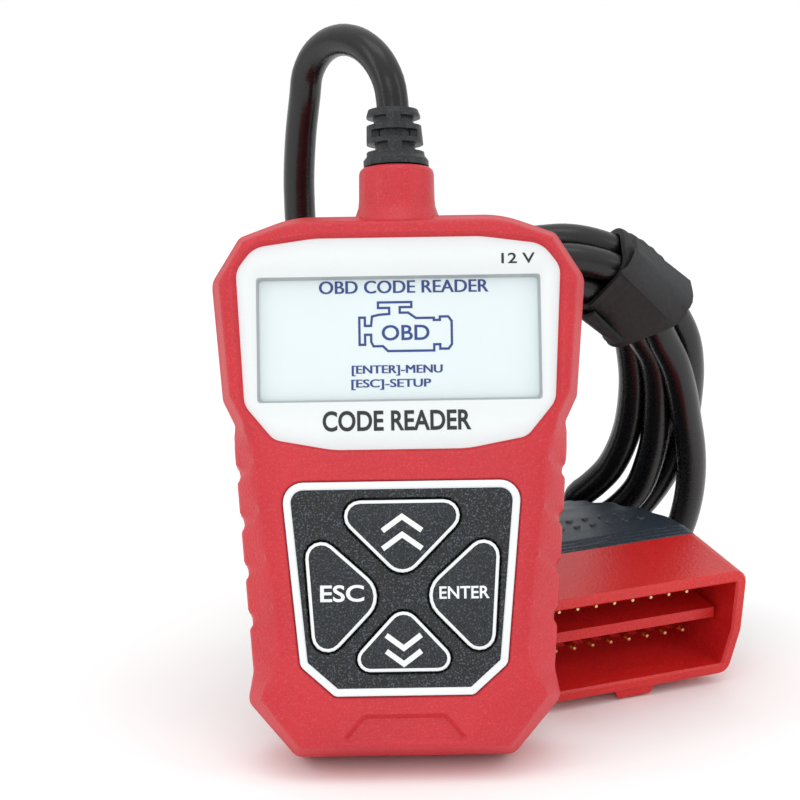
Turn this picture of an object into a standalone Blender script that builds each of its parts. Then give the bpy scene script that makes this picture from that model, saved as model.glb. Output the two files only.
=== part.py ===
"""Handheld on-board diagnostics code reader with its lead, coiled cord and
sixteen-pin vehicle plug.

The reader stands on its bottom edge and leans back on its own coiled cord.
X runs across the reader, Y runs from its front to its back, Z is up.
All dimensions are metres.
"""

import bmesh
import bpy
from math import cos, pi, radians, sin, sqrt, tan, acos, atan2
from mathutils import Matrix, Vector

MM = 0.001

# Whole reader.
LEAN = 18.0                 # degrees the reader leans back
READER_LIFT = 1.412 * MM    # height of its frame when its rear edge is down
HALF_DEPTH = 10.0 * MM      # parting plane to front face, and to back face
PART_GAP = 0.15 * MM        # half of the gap left between the two covers
WALL = 2.0 * MM
BEVEL_REACH = 2.8 * MM      # width of the broad bevel round the front
BEVEL_START = 4.6 * MM      # distance of its outer edge from the parting plane

# Right half of the housing outline, from the foot up: x, z, corner radius.
HOUSING = (
    (19.6, 0.0, 3.0),
    (28.3, 10.2, 2.6),
    (27.2, 16.0, 7.0),
    (30.3, 57.8, 2.0),
    (30.1, 60.0, 1.6),
    (32.3, 64.6, 2.6),
    (34.1, 85.9, 4.0),
    (28.9, 94.3, 2.4),
    (19.0, 97.9, 20.0),
)
FACEPLATE = (
    (12.0, 54.9, 20.0),
    (22.7, 56.9, 3.4),
    (27.9, 63.2, 4.0),
    (29.2, 87.4, 4.0),
    (26.0, 91.6, 5.0),
    (15.0, 93.1, 20.0),
)
KEYPAD = (
    (12.3, 11.2, 1.4),
    (18.4, 16.6, 2.0),
    (21.5, 49.2, 3.6),
)
WINDOW_HALF = 25.5 * MM
WINDOW_LOW = 63.6 * MM
WINDOW_HIGH = 86.1 * MM

# Keys: outline corners x, z, radius, and the point the key is pressed at.
UP_KEY = ((-14.4, 45.9, 2.9), (0.0, 31.4, 3.6), (14.4, 45.9, 2.9))
DOWN_KEY = ((-11.3, 15.4, 2.3), (11.3, 15.4, 2.3), (0.0, 27.5, 3.0))
ESC_KEY = ((-15.9, 15.2, 2.9), (-2.6, 29.0, 4.6), (-17.8, 42.7, 2.9))
ENTER_KEY = ((15.9, 15.2, 2.9), (17.8, 42.7, 2.9), (2.6, 29.0, 4.6))
KEYS = (
    ("button_up", UP_KEY, (0.0, 40.6)),
    ("button_down", DOWN_KEY, (0.0, 19.6)),
    ("button_esc", ESC_KEY, (-12.6, 29.0)),
    ("button_enter", ENTER_KEY, (12.6, 29.0)),
)
KEY_CLEARANCE = 0.3 * MM
KEY_TRAVEL = 0.8 * MM

# Screws and bosses.
HOUSING_SCREWS = ((-25.0, 90.6), (25.0, 90.6), (-22.6, 18.5), (22.6, 18.5))
BOARD_SCREWS = ((-16.0, 53.6), (16.0, 53.6))

# Neck, strain relief and cord.
NECK_RADIUS = 6.9 * MM
NECK_TOP = 107.0 * MM
BORE_RADIUS = 4.9 * MM
RELIEF_TOP = 117.8 * MM
RELIEF_LEAN = 2.6           # degrees the strain relief leans to the left
CORD_RADIUS = 3.0 * MM
CORD_GAP = 0.3 * MM

# Coil: an oval ring leaning on the back of the reader.
COIL_CENTRE = Vector((29.0, 66.5, 47.4)) * MM
COIL_HALF_WIDTH = 28.5 * MM
COIL_HALF_HEIGHT = 44.6 * MM
COIL_LEAN = 26.6
COIL_BUNDLE = 6.1 * MM      # half thickness of the bundle of strands
COIL_SPREAD = 5.2 * MM      # extra width where the strands fan out
SPREAD_AT = -22.0           # degrees round the coil, where that is widest
STRAP_THICK = 1.4 * MM
STRAP_FROM = 40.0           # degrees round the coil
STRAP_TO = 66.0

# Plug to the vehicle's sixteen-way socket.
PLUG_FOOT = Vector((44.6, 30.4, 1.9)) * MM
PLUG_TURN = 24.0            # degrees it points to the right of straight ahead
PLUG_PITCH = 9.0            # degrees its nose points down
PLUG_HALF_TOP = 22.6 * MM
PLUG_HALF_BOTTOM = 20.6 * MM
PLUG_HEIGHT = 22.0 * MM
PLUG_WALL = 2.3 * MM
SHROUD_LENGTH = 18.0 * MM
CAVITY_DEPTH = 16.0 * MM
BLADE_START = 5.4 * MM      # the blade between the rows starts this far inside
PIN_PITCH = 4.0 * MM
PIN_ROW = 8.4 * MM
PIN_RADIUS = 0.8 * MM
PIN_TIP = 7.6 * MM          # pin tips sit this far inside the rim
SHELL_END = 47.0 * MM
BOOT_END = 64.0 * MM
BOOT_RADIUS = 4.5 * MM


# ---------------------------------------------------------------- scene set-up

for old in list(bpy.data.objects):
    bpy.data.objects.remove(old, do_unlink=True)

parts = bpy.data.collections.new("obd_code_reader")
bpy.context.scene.collection.children.link(parts)
cutters = bpy.data.collections.new("cutters")
bpy.context.scene.collection.children.link(cutters)


def material(name, colour, roughness, metallic=0.0):
    """One Principled material in a linear colour."""
    mat = bpy.data.materials.new(name)
    mat.use_nodes = True
    shader = mat.node_tree.nodes["Principled BSDF"]
    shader.inputs["Base Color"].default_value = (*colour, 1.0)
    shader.inputs["Roughness"].default_value = roughness
    shader.inputs["Metallic"].default_value = metallic
    mat.diffuse_color = (*colour, 1.0)
    return mat


RED = (0.60, 0.038, 0.048)
PLUG_RED = (0.66, 0.030, 0.028)
BLACK = (0.016, 0.018, 0.021)
CORD_BLACK = (0.014, 0.014, 0.014)
BLUE_BLACK = (0.026, 0.040, 0.055)
GOLD = (0.82, 0.66, 0.36)
STEEL = (0.55, 0.56, 0.57)
BOARD_GREEN = (0.020, 0.130, 0.060)


# ------------------------------------------------------------------- outlines

def rounded(corners, inset=0.0, steps=4, floor=0.25 * MM):
    """Points of a rounded polygon moved inwards by inset.

    Corners are (x, z, radius) in metres, anticlockwise.
    """
    count = len(corners)
    lines = []
    for i in range(count):
        x0, z0, r0 = corners[i]
        x1, z1, r1 = corners[(i + 1) % count]
        length = sqrt((x1 - x0) ** 2 + (z1 - z0) ** 2)
        dx = (x1 - x0) / length
        dz = (z1 - z0) / length
        lines.append((x0 - dz * inset, z0 + dx * inset, dx, dz))
    points = []
    for i in range(count):
        ax, az, adx, adz = lines[i - 1]
        bx, bz, bdx, bdz = lines[i]
        cross = adx * bdz - adz * bdx
        along = ((bx - ax) * bdz - (bz - az) * bdx) / cross
        px = ax + adx * along
        pz = az + adz * along
        turn = atan2(cross, adx * bdx + adz * bdz)
        radius = corners[i][2] - inset if turn > 0 else corners[i][2] + inset
        radius = max(radius, floor)
        reach = radius * abs(tan(turn / 2))
        sx = px - adx * reach
        sz = pz - adz * reach
        side = 1.0 if turn > 0 else -1.0
        cx = sx - adz * radius * side
        cz = sz + adx * radius * side
        start = atan2(sz - cz, sx - cx)
        for k in range(steps + 1):
            angle = start + turn * k / steps
            points.append((cx + radius * cos(angle), cz + radius * sin(angle)))
    return points


def mirrored(half):
    """Whole outline in metres from its right half given in millimetres."""
    right = [(x * MM, z * MM, r * MM) for x, z, r in half]
    left = [(-x, z, r) for x, z, r in reversed(right)]
    return right + left


def scaled(corners):
    """Corners in metres from corners in millimetres."""
    return [(x * MM, z * MM, r * MM) for x, z, r in corners]


def rectangle(half, low, high, radius):
    """Corners of an upright rectangle."""
    return [(half, low, radius), (half, high, radius),
            (-half, high, radius), (-half, low, radius)]


# ------------------------------------------------------------- mesh building

def finish(name, bm, mat, parent=None, smooth=False, group=None):
    """Turn a bmesh into a named object."""
    bmesh.ops.recalc_face_normals(bm, faces=bm.faces)
    mesh = bpy.data.meshes.new(name)
    bm.to_mesh(mesh)
    bm.free()
    obj = bpy.data.objects.new(name, mesh)
    (group or parts).objects.link(obj)
    if mat is not None:
        mesh.materials.append(mat)
    if smooth:
        for face in mesh.polygons:
            face.use_smooth = True
    if parent is not None:
        obj.parent = parent
    return obj


def loft(name, rings, mat, parent=None, smooth=False, group=None):
    """Closed solid through rings with equal numbers of points."""
    bm = bmesh.new()
    rows = [[bm.verts.new(p) for p in ring] for ring in rings]
    count = len(rows[0])
    for low, high in zip(rows, rows[1:]):
        for i in range(count):
            j = (i + 1) % count
            bm.faces.new((low[i], low[j], high[j], high[i]))
    bm.faces.new(list(reversed(rows[0])))
    bm.faces.new(rows[-1])
    return finish(name, bm, mat, parent, smooth, group)


def hoop(name, rows_of_points, mat, parent=None, smooth=False, group=None):
    """Closed solid whose grid of points joins up in both directions."""
    bm = bmesh.new()
    rows = [[bm.verts.new(p) for p in row] for row in rows_of_points]
    count = len(rows[0])
    for k in range(len(rows)):
        low = rows[k]
        high = rows[(k + 1) % len(rows)]
        for i in range(count):
            j = (i + 1) % count
            bm.faces.new((low[i], low[j], high[j], high[i]))
    return finish(name, bm, mat, parent, smooth, group)


def slab(corners, stations, steps=4):
    """Rings of an outline at several depths: (y, inset) pairs."""
    rings = []
    for y, inset in stations:
        rings.append([Vector((x, y, z)) for x, z in rounded(corners, inset, steps)])
    return rings


def plate(name, corners, front, back, mat, parent=None, group=None, edge=0.0,
          steps=4):
    """Flat plate with an optional small front edge bevel."""
    stations = [(back, 0.0), (front + edge, 0.0)]
    if edge > 0:
        stations.append((front, edge))
    return loft(name, slab(corners, stations, steps), mat, parent, group=group)


def box(name, low, high, mat=None, parent=None, group=None):
    """Plain block between two corners."""
    bm = bmesh.new()
    bmesh.ops.create_cube(bm, size=1.0)
    low = Vector(low)
    high = Vector(high)
    for v in bm.verts:
        v.co = Vector(((low[i] + high[i]) / 2 + v.co[i] * (high[i] - low[i])
                       for i in range(3)))
    return finish(name, bm, mat, parent, group=group)


def turned(name, profile, mat=None, parent=None, segments=24, axis="Z",
           smooth=False, group=None):
    """Solid of revolution; the profile is (radius, height) pairs going up."""
    rings = []
    for radius, height in profile:
        ring = []
        for i in range(segments):
            angle = 2 * pi * i / segments
            a = radius * cos(angle)
            b = radius * sin(angle)
            if axis == "Z":
                ring.append(Vector((a, b, height)))
            else:
                ring.append(Vector((a, height, b)))
        rings.append(ring)
    return loft(name, rings, mat, parent, smooth, group)


def boolean(target, tool, operation):
    """Apply one exact Boolean in the target's own frame and drop the tool."""
    frame = target.parent
    target.parent = None
    mod = target.modifiers.new("cut", "BOOLEAN")
    mod.operation = operation
    mod.object = tool
    mod.solver = "EXACT"
    graph = bpy.context.evaluated_depsgraph_get()
    graph.update()
    done = bpy.data.meshes.new_from_object(target.evaluated_get(graph))
    target.modifiers.remove(mod)
    old = target.data
    target.data = done
    bpy.data.meshes.remove(old)
    tidy(target)
    target.parent = frame
    bpy.data.objects.remove(tool, do_unlink=True)


def tidy(obj):
    """Merge doubled points and flatten slivers left by a cut."""
    bm = bmesh.new()
    bm.from_mesh(obj.data)
    bmesh.ops.remove_doubles(bm, verts=bm.verts, dist=2e-6)
    bmesh.ops.dissolve_degenerate(bm, edges=bm.edges, dist=2e-6)
    bmesh.ops.recalc_face_normals(bm, faces=bm.faces)
    bm.to_mesh(obj.data)
    bm.free()


def cut(target, *tools):
    for tool in tools:
        boolean(target, tool, "DIFFERENCE")


def join(target, *tools):
    for tool in tools:
        boolean(target, tool, "UNION")


def rod(x, z, radius, y0, y1, segments=16):
    """Round cutter or boss along Y, inside the cutters collection."""
    tool = turned("rod", ((radius, y0), (radius, y1)), axis="Y",
                  segments=segments, group=cutters)
    for v in tool.data.vertices:
        v.co.x += x * MM
        v.co.z += z * MM
    return tool


def tube(name, points, radius, mat, parent=None, sides=10):
    """Round cord along a list of points with flat ends."""
    curve = bpy.data.curves.new(name, "CURVE")
    curve.dimensions = "3D"
    curve.bevel_depth = radius
    curve.bevel_resolution = 2
    curve.use_fill_caps = True
    spline = curve.splines.new("POLY")
    spline.points.add(len(points) - 1)
    for slot, p in zip(spline.points, points):
        slot.co = (*p, 1.0)
    carrier = bpy.data.objects.new(name + "_route", curve)
    cutters.objects.link(carrier)
    graph = bpy.context.evaluated_depsgraph_get()
    graph.update()
    mesh = bpy.data.meshes.new_from_object(carrier.evaluated_get(graph))
    bpy.data.objects.remove(carrier, do_unlink=True)
    bm = bmesh.new()
    bm.from_mesh(mesh)
    bmesh.ops.remove_doubles(bm, verts=bm.verts, dist=1e-6)
    bpy.data.meshes.remove(mesh)
    return finish(name, bm, mat, parent, smooth=True)


def smooth_route(route, spacing):
    """Evenly spaced points on a smooth curve through the route points."""
    pts = [Vector(p) for p in route]
    dense = []
    for i in range(len(pts) - 1):
        p0 = pts[i - 1] if i > 0 else pts[0] * 2 - pts[1]
        p1 = pts[i]
        p2 = pts[i + 1]
        p3 = pts[i + 2] if i + 2 < len(pts) else pts[-1] * 2 - pts[-2]
        for k in range(16):
            t = k / 16
            a = p1 * 2
            b = (p2 - p0) * t
            c = (p0 * 2 - p1 * 5 + p2 * 4 - p3) * t * t
            d = (p1 * 3 - p0 - p2 * 3 + p3) * t * t * t
            dense.append((a + b + c + d) / 2)
    dense.append(pts[-1])
    total = sum((b - a).length for a, b in zip(dense, dense[1:]))
    steps = max(2, round(total / spacing))
    out = [dense[0]]
    walked = 0.0
    for a, b in zip(dense, dense[1:]):
        length = (b - a).length
        while len(out) < steps and walked + length >= total * len(out) / steps:
            share = (total * len(out) / steps - walked) / length
            out.append(a.lerp(b, share))
        walked += length
    out.append(dense[-1])
    return out


# ------------------------------------------------------------------- frames

ground = bpy.data.objects.new("ground_frame", None)
parts.objects.link(ground)
reader = bpy.data.objects.new("reader_frame", None)
reader.parent = ground
reader.rotation_euler = (-radians(LEAN), 0.0, 0.0)
reader.location = (0.0, 0.0, READER_LIFT)
parts.objects.link(reader)
plug = bpy.data.objects.new("plug_frame", None)
plug.parent = ground
plug.rotation_euler = (radians(PLUG_PITCH), 0.0, radians(PLUG_TURN))
plug.location = PLUG_FOOT
parts.objects.link(plug)


# ------------------------------------------------------------------- housing

def cover(name, side, mat):
    """Hollow half of the housing; side is -1 for the front, 1 for the back."""
    outline = mirrored(HOUSING)
    inner = WALL + 0.2 * MM
    edge = side * HALF_DEPTH
    if side < 0:
        stations = [(edge, BEVEL_REACH + 0.7 * MM),
                    (edge + 0.45 * MM, BEVEL_REACH),
                    (-BEVEL_START, 0.45 * MM),
                    (-BEVEL_START + 0.5 * MM, 0.2 * MM),
                    (-PART_GAP, 0.0)]
    else:
        stations = [(edge, 3.2 * MM),
                    (edge - 0.6 * MM, 2.4 * MM),
                    (edge - 4.2 * MM, 0.4 * MM),
                    (PART_GAP, 0.0)]
    pocket = [(side * PART_GAP, inner),
              (side * (BEVEL_START + 0.6 * MM), inner + 0.2 * MM),
              (side * (HALF_DEPTH - WALL), inner + 2.4 * MM)]
    rings = slab(outline, stations + pocket, 4)
    body = loft(name, rings, mat, reader)
    collar = turned("collar", ((NECK_RADIUS + 0.9 * MM, 95.4 * MM),
                               (NECK_RADIUS + 0.35 * MM, 98.8 * MM),
                               (NECK_RADIUS, 100.6 * MM),
                               (NECK_RADIUS, NECK_TOP - 0.8 * MM),
                               (NECK_RADIUS - 0.8 * MM, NECK_TOP)),
                    segments=32, group=cutters)
    far = 30 * MM
    half = box("half", (-far, min(0, -side * far) + side * PART_GAP, 80 * MM),
               (far, max(0, -side * far) + side * PART_GAP, 120 * MM),
               group=cutters)
    cut(collar, half)
    join(body, collar)
    bore = turned("bore", ((BORE_RADIUS, 90 * MM), (BORE_RADIUS, 112 * MM)),
                  segments=24, group=cutters)
    cut(body, bore)
    return body


def grip_notches(body, side):
    """Four slanted notches down each flank."""
    for flank in (-1, 1):
        for k in range(4):
            z = (50.4 - 8.75 * k) * MM
            x = flank * (29.7 - 0.42 * k) * MM
            y0 = side * 0.1 * MM
            y1 = side * 8.6 * MM
            tool = box("notch", (-0.8 * MM, min(y0, y1), -0.9 * MM),
                       (0.8 * MM, max(y0, y1), 0.9 * MM), group=cutters)
            shift = Matrix.Translation((x + flank * 0.25 * MM, 0.0, z))
            tilt = Matrix.Rotation(flank * radians(32), 4, "Y")
            tool.data.transform(shift @ tilt)
            cut(body, tool)


def front_cover(mat):
    body = cover("front_cover", -1, mat)
    front = -HALF_DEPTH
    inside = -(HALF_DEPTH - WALL)
    deep = front - 1 * MM
    # Seat of the white faceplate, with a sloping lip round it.
    seat = loft("seat", slab(mirrored(FACEPLATE), ((front + 0.85 * MM, -0.15 * MM),
                                                   (front, -0.75 * MM),
                                                   (deep, -0.75 * MM)), 4),
                None, group=cutters)
    cut(body, seat)
    # Seat of the keypad panel.
    pad = loft("pad", slab(mirrored(KEYPAD), ((front + 0.85 * MM, -0.15 * MM),
                                              (deep, -0.15 * MM)), 4),
               None, group=cutters)
    cut(body, pad)
    # Display opening.
    opening = rectangle(WINDOW_HALF + 0.9 * MM, WINDOW_LOW - 0.9 * MM,
                        WINDOW_HIGH + 0.9 * MM, 0.8 * MM)
    cut(body, plate("opening", opening, deep, inside + 2 * MM, None,
                    group=cutters, steps=2))
    # Key openings.
    for key, outline, press in KEYS:
        hole = loft("hole", slab(scaled(outline),
                                 ((inside + 2 * MM, -KEY_CLEARANCE),
                                  (deep, -KEY_CLEARANCE)), 4),
                    None, group=cutters)
        cut(body, hole)
    # Scooped finger rest at the foot.
    scoop = bmesh.new()
    base = [(-13.6, -1.0), (13.6, -1.0), (6.9, 7.3), (-6.9, 7.3)]
    near = [scoop.verts.new((x * MM * 1.03, deep, z * MM)) for x, z in base]
    floor_y = front + 0.9 * MM
    far = [scoop.verts.new((x * MM * 0.97, floor_y, z * MM - 0.3 * MM))
           for x, z in base]
    for i in range(4):
        j = (i + 1) % 4
        scoop.faces.new((near[i], near[j], far[j], far[i]))
    scoop.faces.new(list(reversed(near)))
    scoop.faces.new(far)
    cut(body, finish("scoop", scoop, None, group=cutters))
    grip_notches(body, -1)
    # Bosses.
    for x, z in HOUSING_SCREWS:
        join(body, rod(x, z, 2.4 * MM, inside - 0.6 * MM, -PART_GAP))
        cut(body, rod(x, z, 1.25 * MM, -6.6 * MM, 1 * MM, 12))
    for x, z in BOARD_SCREWS:
        join(body, rod(x, z, 2.2 * MM, inside - 0.6 * MM, -3.2 * MM))
        cut(body, rod(x, z, 1.05 * MM, -7.4 * MM, 1 * MM, 12))
    return body


def rear_cover(mat):
    body = cover("rear_cover", 1, mat)
    inside = HALF_DEPTH - WALL
    grip_notches(body, 1)
    for x, z in HOUSING_SCREWS:
        join(body, rod(x, z, 3.0 * MM, PART_GAP, inside + 0.6 * MM))
        cut(body, rod(x, z, 2.3 * MM, 6.0 * MM, 12 * MM))
        cut(body, rod(x, z, 1.3 * MM, -1 * MM, 7 * MM, 12))
    seat = rectangle(18.2 * MM, 57.8 * MM, 80.2 * MM, 1.2 * MM)
    cut(body, plate("seat", seat, 9.5 * MM, 12 * MM, None, group=cutters, steps=2))
    return body


red = material("reader_red", RED, 0.42)
front_cover(red)
rear_red = material("rear_red", RED, 0.45)
rear_cover(rear_red)


# ------------------------------------------------------- front face and display

def faceplate(mat):
    front = -HALF_DEPTH + 0.05 * MM
    body = plate("faceplate", mirrored(FACEPLATE), front, front + 0.65 * MM, mat,
                 reader, edge=0.15 * MM)
    window = rectangle(WINDOW_HALF, WINDOW_LOW, WINDOW_HIGH, 0.5 * MM)
    cut(body, plate("window", window, -12 * MM, -8 * MM, None, group=cutters,
                    steps=2))
    return body


def display_bezel(mat):
    """Grey frame lining the display opening."""
    outer = rectangle(WINDOW_HALF + 0.6 * MM, WINDOW_LOW - 0.6 * MM,
                      WINDOW_HIGH + 0.6 * MM, 0.6 * MM)
    body = plate("display_bezel", outer, -9.15 * MM, -8.05 * MM, mat, reader,
                 steps=2)
    hole = loft("hole", slab(rectangle(WINDOW_HALF, WINDOW_LOW, WINDOW_HIGH,
                                       0.9 * MM),
                             ((-7 * MM, 0.8 * MM), (-10 * MM, -0.35 * MM)), 2),
                None, group=cutters)
    cut(body, hole)
    return body


def keypad_panel(mat):
    front = -HALF_DEPTH - 0.15 * MM
    body = plate("keypad_panel", mirrored(KEYPAD), front, front + 0.85 * MM, mat,
                 reader, edge=0.2 * MM)
    for key, outline, press in KEYS:
        hole = loft("hole", slab(scaled(outline), ((-8 * MM, -KEY_CLEARANCE),
                                                   (-12 * MM, -KEY_CLEARANCE)), 4),
                    None, group=cutters)
        cut(body, hole)
    return body


def button(name, outline, press, mat):
    """Domed key with a retaining flange; its origin is on its press line."""
    corners = scaled(outline)
    stations = ((-6.7 * MM, 2.6 * MM), (-7.1 * MM, 2.4 * MM),
                (-7.1 * MM, -0.9 * MM), (-7.6 * MM, -0.9 * MM),
                (-7.6 * MM, 0.0), (-10.3 * MM, 0.0),
                (-10.75 * MM, 0.5 * MM), (-11.05 * MM, 1.7 * MM))
    body = loft(name, slab(corners, stations, 4), mat, reader)
    centre = Vector((press[0] * MM, -HALF_DEPTH, press[1] * MM))
    for v in body.data.vertices:
        v.co -= centre
    body.location = centre
    return body


faceplate(material("faceplate_white", (0.88, 0.91, 0.91), 0.35))
display_bezel(material("bezel_grey", (0.42, 0.47, 0.48), 0.5))
keypad_panel(material("keypad_black", BLACK, 0.5))
for key_name, key_outline, key_press in KEYS:
    key_mat = material(key_name + "_black", BLACK, 0.38)
    button(key_name, key_outline, key_press, key_mat)

glass_outline = rectangle(26.4 * MM, 61.6 * MM, 88.0 * MM, 0.6 * MM)
plate("lcd_glass", glass_outline, -7.75 * MM, -6.2 * MM,
      material("lcd_pale", (0.80, 0.89, 0.89), 0.2), reader, steps=2)
light_outline = rectangle(26.0 * MM, 62.0 * MM, 87.6 * MM, 0.6 * MM)
plate("lcd_backlight", light_outline, -5.9 * MM, -3.5 * MM,
      material("backlight_white", (0.8, 0.8, 0.8), 0.5), reader, steps=2)
box("lcd_ribbon", (-9 * MM, -6.9 * MM, 60.4 * MM), (9 * MM, -3.2 * MM, 60.8 * MM),
    material("ribbon_amber", (0.45, 0.22, 0.05), 0.4), reader)


# ---------------------------------------------------------------- electronics

def main_board(mat):
    half = ((19.0, 9.0, 1.0), (19.0, 56.0, 1.0), (24.8, 61.0, 1.0),
            (24.8, 87.6, 1.0))
    body = plate("main_board", mirrored(half), -2.9 * MM, -1.3 * MM, mat, reader,
                 steps=2)
    for x, z in BOARD_SCREWS:
        cut(body, rod(x, z, 1.15 * MM, -5 * MM, 5 * MM, 12))
    return body


def switch(name, press, mat):
    """Small tactile switch under a key."""
    x = press[0] * MM
    z = press[1] * MM
    body = box(name, (x - 2.6 * MM, -5.2 * MM, z - 2.6 * MM),
               (x + 2.6 * MM, -3.0 * MM, z + 2.6 * MM), mat, reader)
    join(body, rod(press[0], press[1], 1.6 * MM, -5.8 * MM, -5.0 * MM, 12))
    return body


def can(name, x, z, radius, y0, y1, mat, rim=0.3 * MM):
    """Round component standing on the back of the board."""
    profile = ((radius, y0), (radius, y1 - rim), (radius - rim, y1))
    body = turned(name, profile, mat, reader, segments=20, axis="Y", smooth=False)
    body.location = (x * MM, 0.0, z * MM)
    return body


main_board(material("board_green", BOARD_GREEN, 0.45))
for key_name, key_outline, key_press in KEYS:
    label = key_name.replace("button_", "")
    switch("switch_" + label, key_press, material("switch_" + label, STEEL, 0.4, 0.6))

back = -1.2 * MM
box("processor_chip", (-6 * MM, back, 60 * MM), (6 * MM, 0.4 * MM, 72 * MM),
    material("processor_black", BLACK, 0.5), reader)
box("transceiver_chip", (9.5 * MM, back, 66 * MM), (13.5 * MM, 0.4 * MM, 71 * MM),
    material("transceiver_black", BLACK, 0.5), reader)
box("crystal", (-17 * MM, back, 63 * MM), (-12.6 * MM, 2.2 * MM, 73 * MM),
    material("crystal_steel", STEEL, 0.25, 1.0), reader)
box("regulator", (9 * MM, back, 76 * MM), (15.5 * MM, 1.2 * MM, 82.5 * MM),
    material("regulator_black", BLACK, 0.45), reader)
can("capacitor", -14.0, 81.0, 3.2 * MM, back, 6.6 * MM,
    material("capacitor_sleeve", (0.03, 0.05, 0.12), 0.35))
can("buzzer", 0.0, 40.0, 6.0 * MM, back, 5.2 * MM,
    material("buzzer_black", BLACK, 0.4))
box("cable_header", (-6.5 * MM, back, 76.0 * MM), (6.5 * MM, 4.6 * MM, 81.0 * MM),
    material("header_white", (0.75, 0.74, 0.68), 0.5), reader)


# ----------------------------------------------------------------- fasteners

def screw(name, x, y, z, length, mat, head=1.95 * MM):
    """Pan head screw along Y, its head towards the back."""
    shank = 1.0 * MM if head > 1.8 * MM else 0.85 * MM
    profile = ((shank * 0.4, -length), (shank, -length + 0.9 * MM), (shank, 0.0),
               (head, 0.0), (head, 0.6 * MM), (head * 0.72, 1.2 * MM))
    body = turned(name, profile, mat, reader, segments=14, axis="Y")
    for turn in (0, 1):
        a = 1.15 * MM if turn == 0 else 0.28 * MM
        b = 0.28 * MM if turn == 0 else 1.15 * MM
        cut(body, box("slot", (-a, 0.55 * MM, -b), (a, 2 * MM, b), group=cutters))
    body.location = (x * MM, y, z * MM)
    return body


for number, (sx, sz) in enumerate(HOUSING_SCREWS, 1):
    screw("housing_screw_%d" % number, sx, 6.15 * MM, sz, 11.8 * MM,
          material("housing_screw_%d" % number, STEEL, 0.3, 1.0))
for number, (sx, sz) in enumerate(BOARD_SCREWS, 1):
    screw("board_screw_%d" % number, sx, -1.15 * MM, sz, 5.2 * MM,
          material("board_screw_%d" % number, STEEL, 0.3, 1.0), 1.75 * MM)
label_outline = rectangle(17.9 * MM, 58.1 * MM, 79.9 * MM, 1.0 * MM)
plate("rear_label", label_outline, 9.6 * MM, 9.9 * MM,
      material("label_silver", (0.62, 0.63, 0.64), 0.45), reader, steps=2)


# --------------------------------------------------------------- strain relief

def strain_relief(mat):
    """Slotted sleeve: inner flange, shank through the neck, tapered outside."""
    inner_stage = ((6.0, 91.2), (6.0, 93.0), (4.6, 93.0), (4.6, 107.3))
    outer_stage = ((6.0, 107.3), (6.0, 108.4), (5.35, 109.2), (4.95, 116.8),
                   (4.6, 117.8))
    profile = [(r * MM, h * MM) for r, h in inner_stage + outer_stage]
    body = turned("strain_relief", profile, mat, reader, segments=28)
    rows = ((109.9, 1.5, 1), (112.3, 1.5, 0), (114.8, 1.5, 1))
    for height, tall, webbed in rows:
        z0 = height * MM
        z1 = (height + tall) * MM
        for side in (-1, 1):
            if webbed:
                low = Vector((1.3 * MM, -8 * MM, z0))
                high = Vector((8 * MM, 8 * MM, z1))
                if side < 0:
                    low.x, high.x = -high.x, -low.x
            else:
                low = Vector((-4.2 * MM, 2.2 * MM, z0))
                high = Vector((4.2 * MM, 8 * MM, z1))
                if side < 0:
                    low.y, high.y = -high.y, -low.y
            block = box("slot", low, high, group=cutters)
            core = turned("core", ((3.7 * MM, z0 - MM), (3.7 * MM, z1 + MM)),
                          segments=16, group=cutters)
            cut(block, core)
            cut(body, block)
    for v in body.data.vertices:
        above = max(0.0, v.co.z - 107.3 * MM)
        v.co.x -= above * tan(radians(RELIEF_LEAN))
    return body


strain_relief(material("relief_black", BLUE_BLACK, 0.5))
inner_route = [Vector(p) * MM for p in ((0.0, 0.0, 90.7), (0.0, 0.1, 89.7),
                                        (0.0, 1.2, 88.2), (0.0, 2.4, 85.6),
                                        (0.0, 2.4, 81.3))]
tube("cable_inner", inner_route, 2.2 * MM, material("cable_inner", CORD_BLACK, 0.4),
     reader)


# ------------------------------------------------------------------- coil

COIL_UP = Vector((0.0, -sin(radians(COIL_LEAN)), cos(radians(COIL_LEAN))))
COIL_NORMAL = Vector((1.0, 0.0, 0.0)).cross(COIL_UP)


def coil_frame(angle):
    """Centre of the bundle and its outward direction at an angle round it."""
    x = COIL_HALF_WIDTH * cos(angle)
    v = COIL_HALF_HEIGHT * sin(angle)
    point = COIL_CENTRE + Vector((x, 0.0, 0.0)) + COIL_UP * v
    nx = COIL_HALF_HEIGHT * cos(angle)
    nv = COIL_HALF_WIDTH * sin(angle)
    length = sqrt(nx * nx + nv * nv)
    outward = Vector((nx / length, 0.0, 0.0)) + COIL_UP * (nv / length)
    return point, outward


def bundle_ring(angle, half, corner, steps=3):
    """Rounded section of the bundle at one angle, wider where it fans out."""
    point, outward = coil_frame(angle)
    fan = max(0.0, cos(angle - radians(SPREAD_AT))) ** 2
    inner = half + COIL_SPREAD * fan
    square = [(half, -half, corner), (half, half, corner),
              (-inner, half, corner), (-inner, -half, corner)]
    return [point + outward * u + COIL_NORMAL * w
            for u, w in rounded(square, 0.0, steps)]


cord_mat = material("coil_black", CORD_BLACK, 0.36)
coil_rows = [bundle_ring(2 * pi * k / 44, COIL_BUNDLE, 3.4 * MM) for k in range(44)]
hoop("cable_coil", coil_rows, cord_mat, ground, smooth=True)


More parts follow.
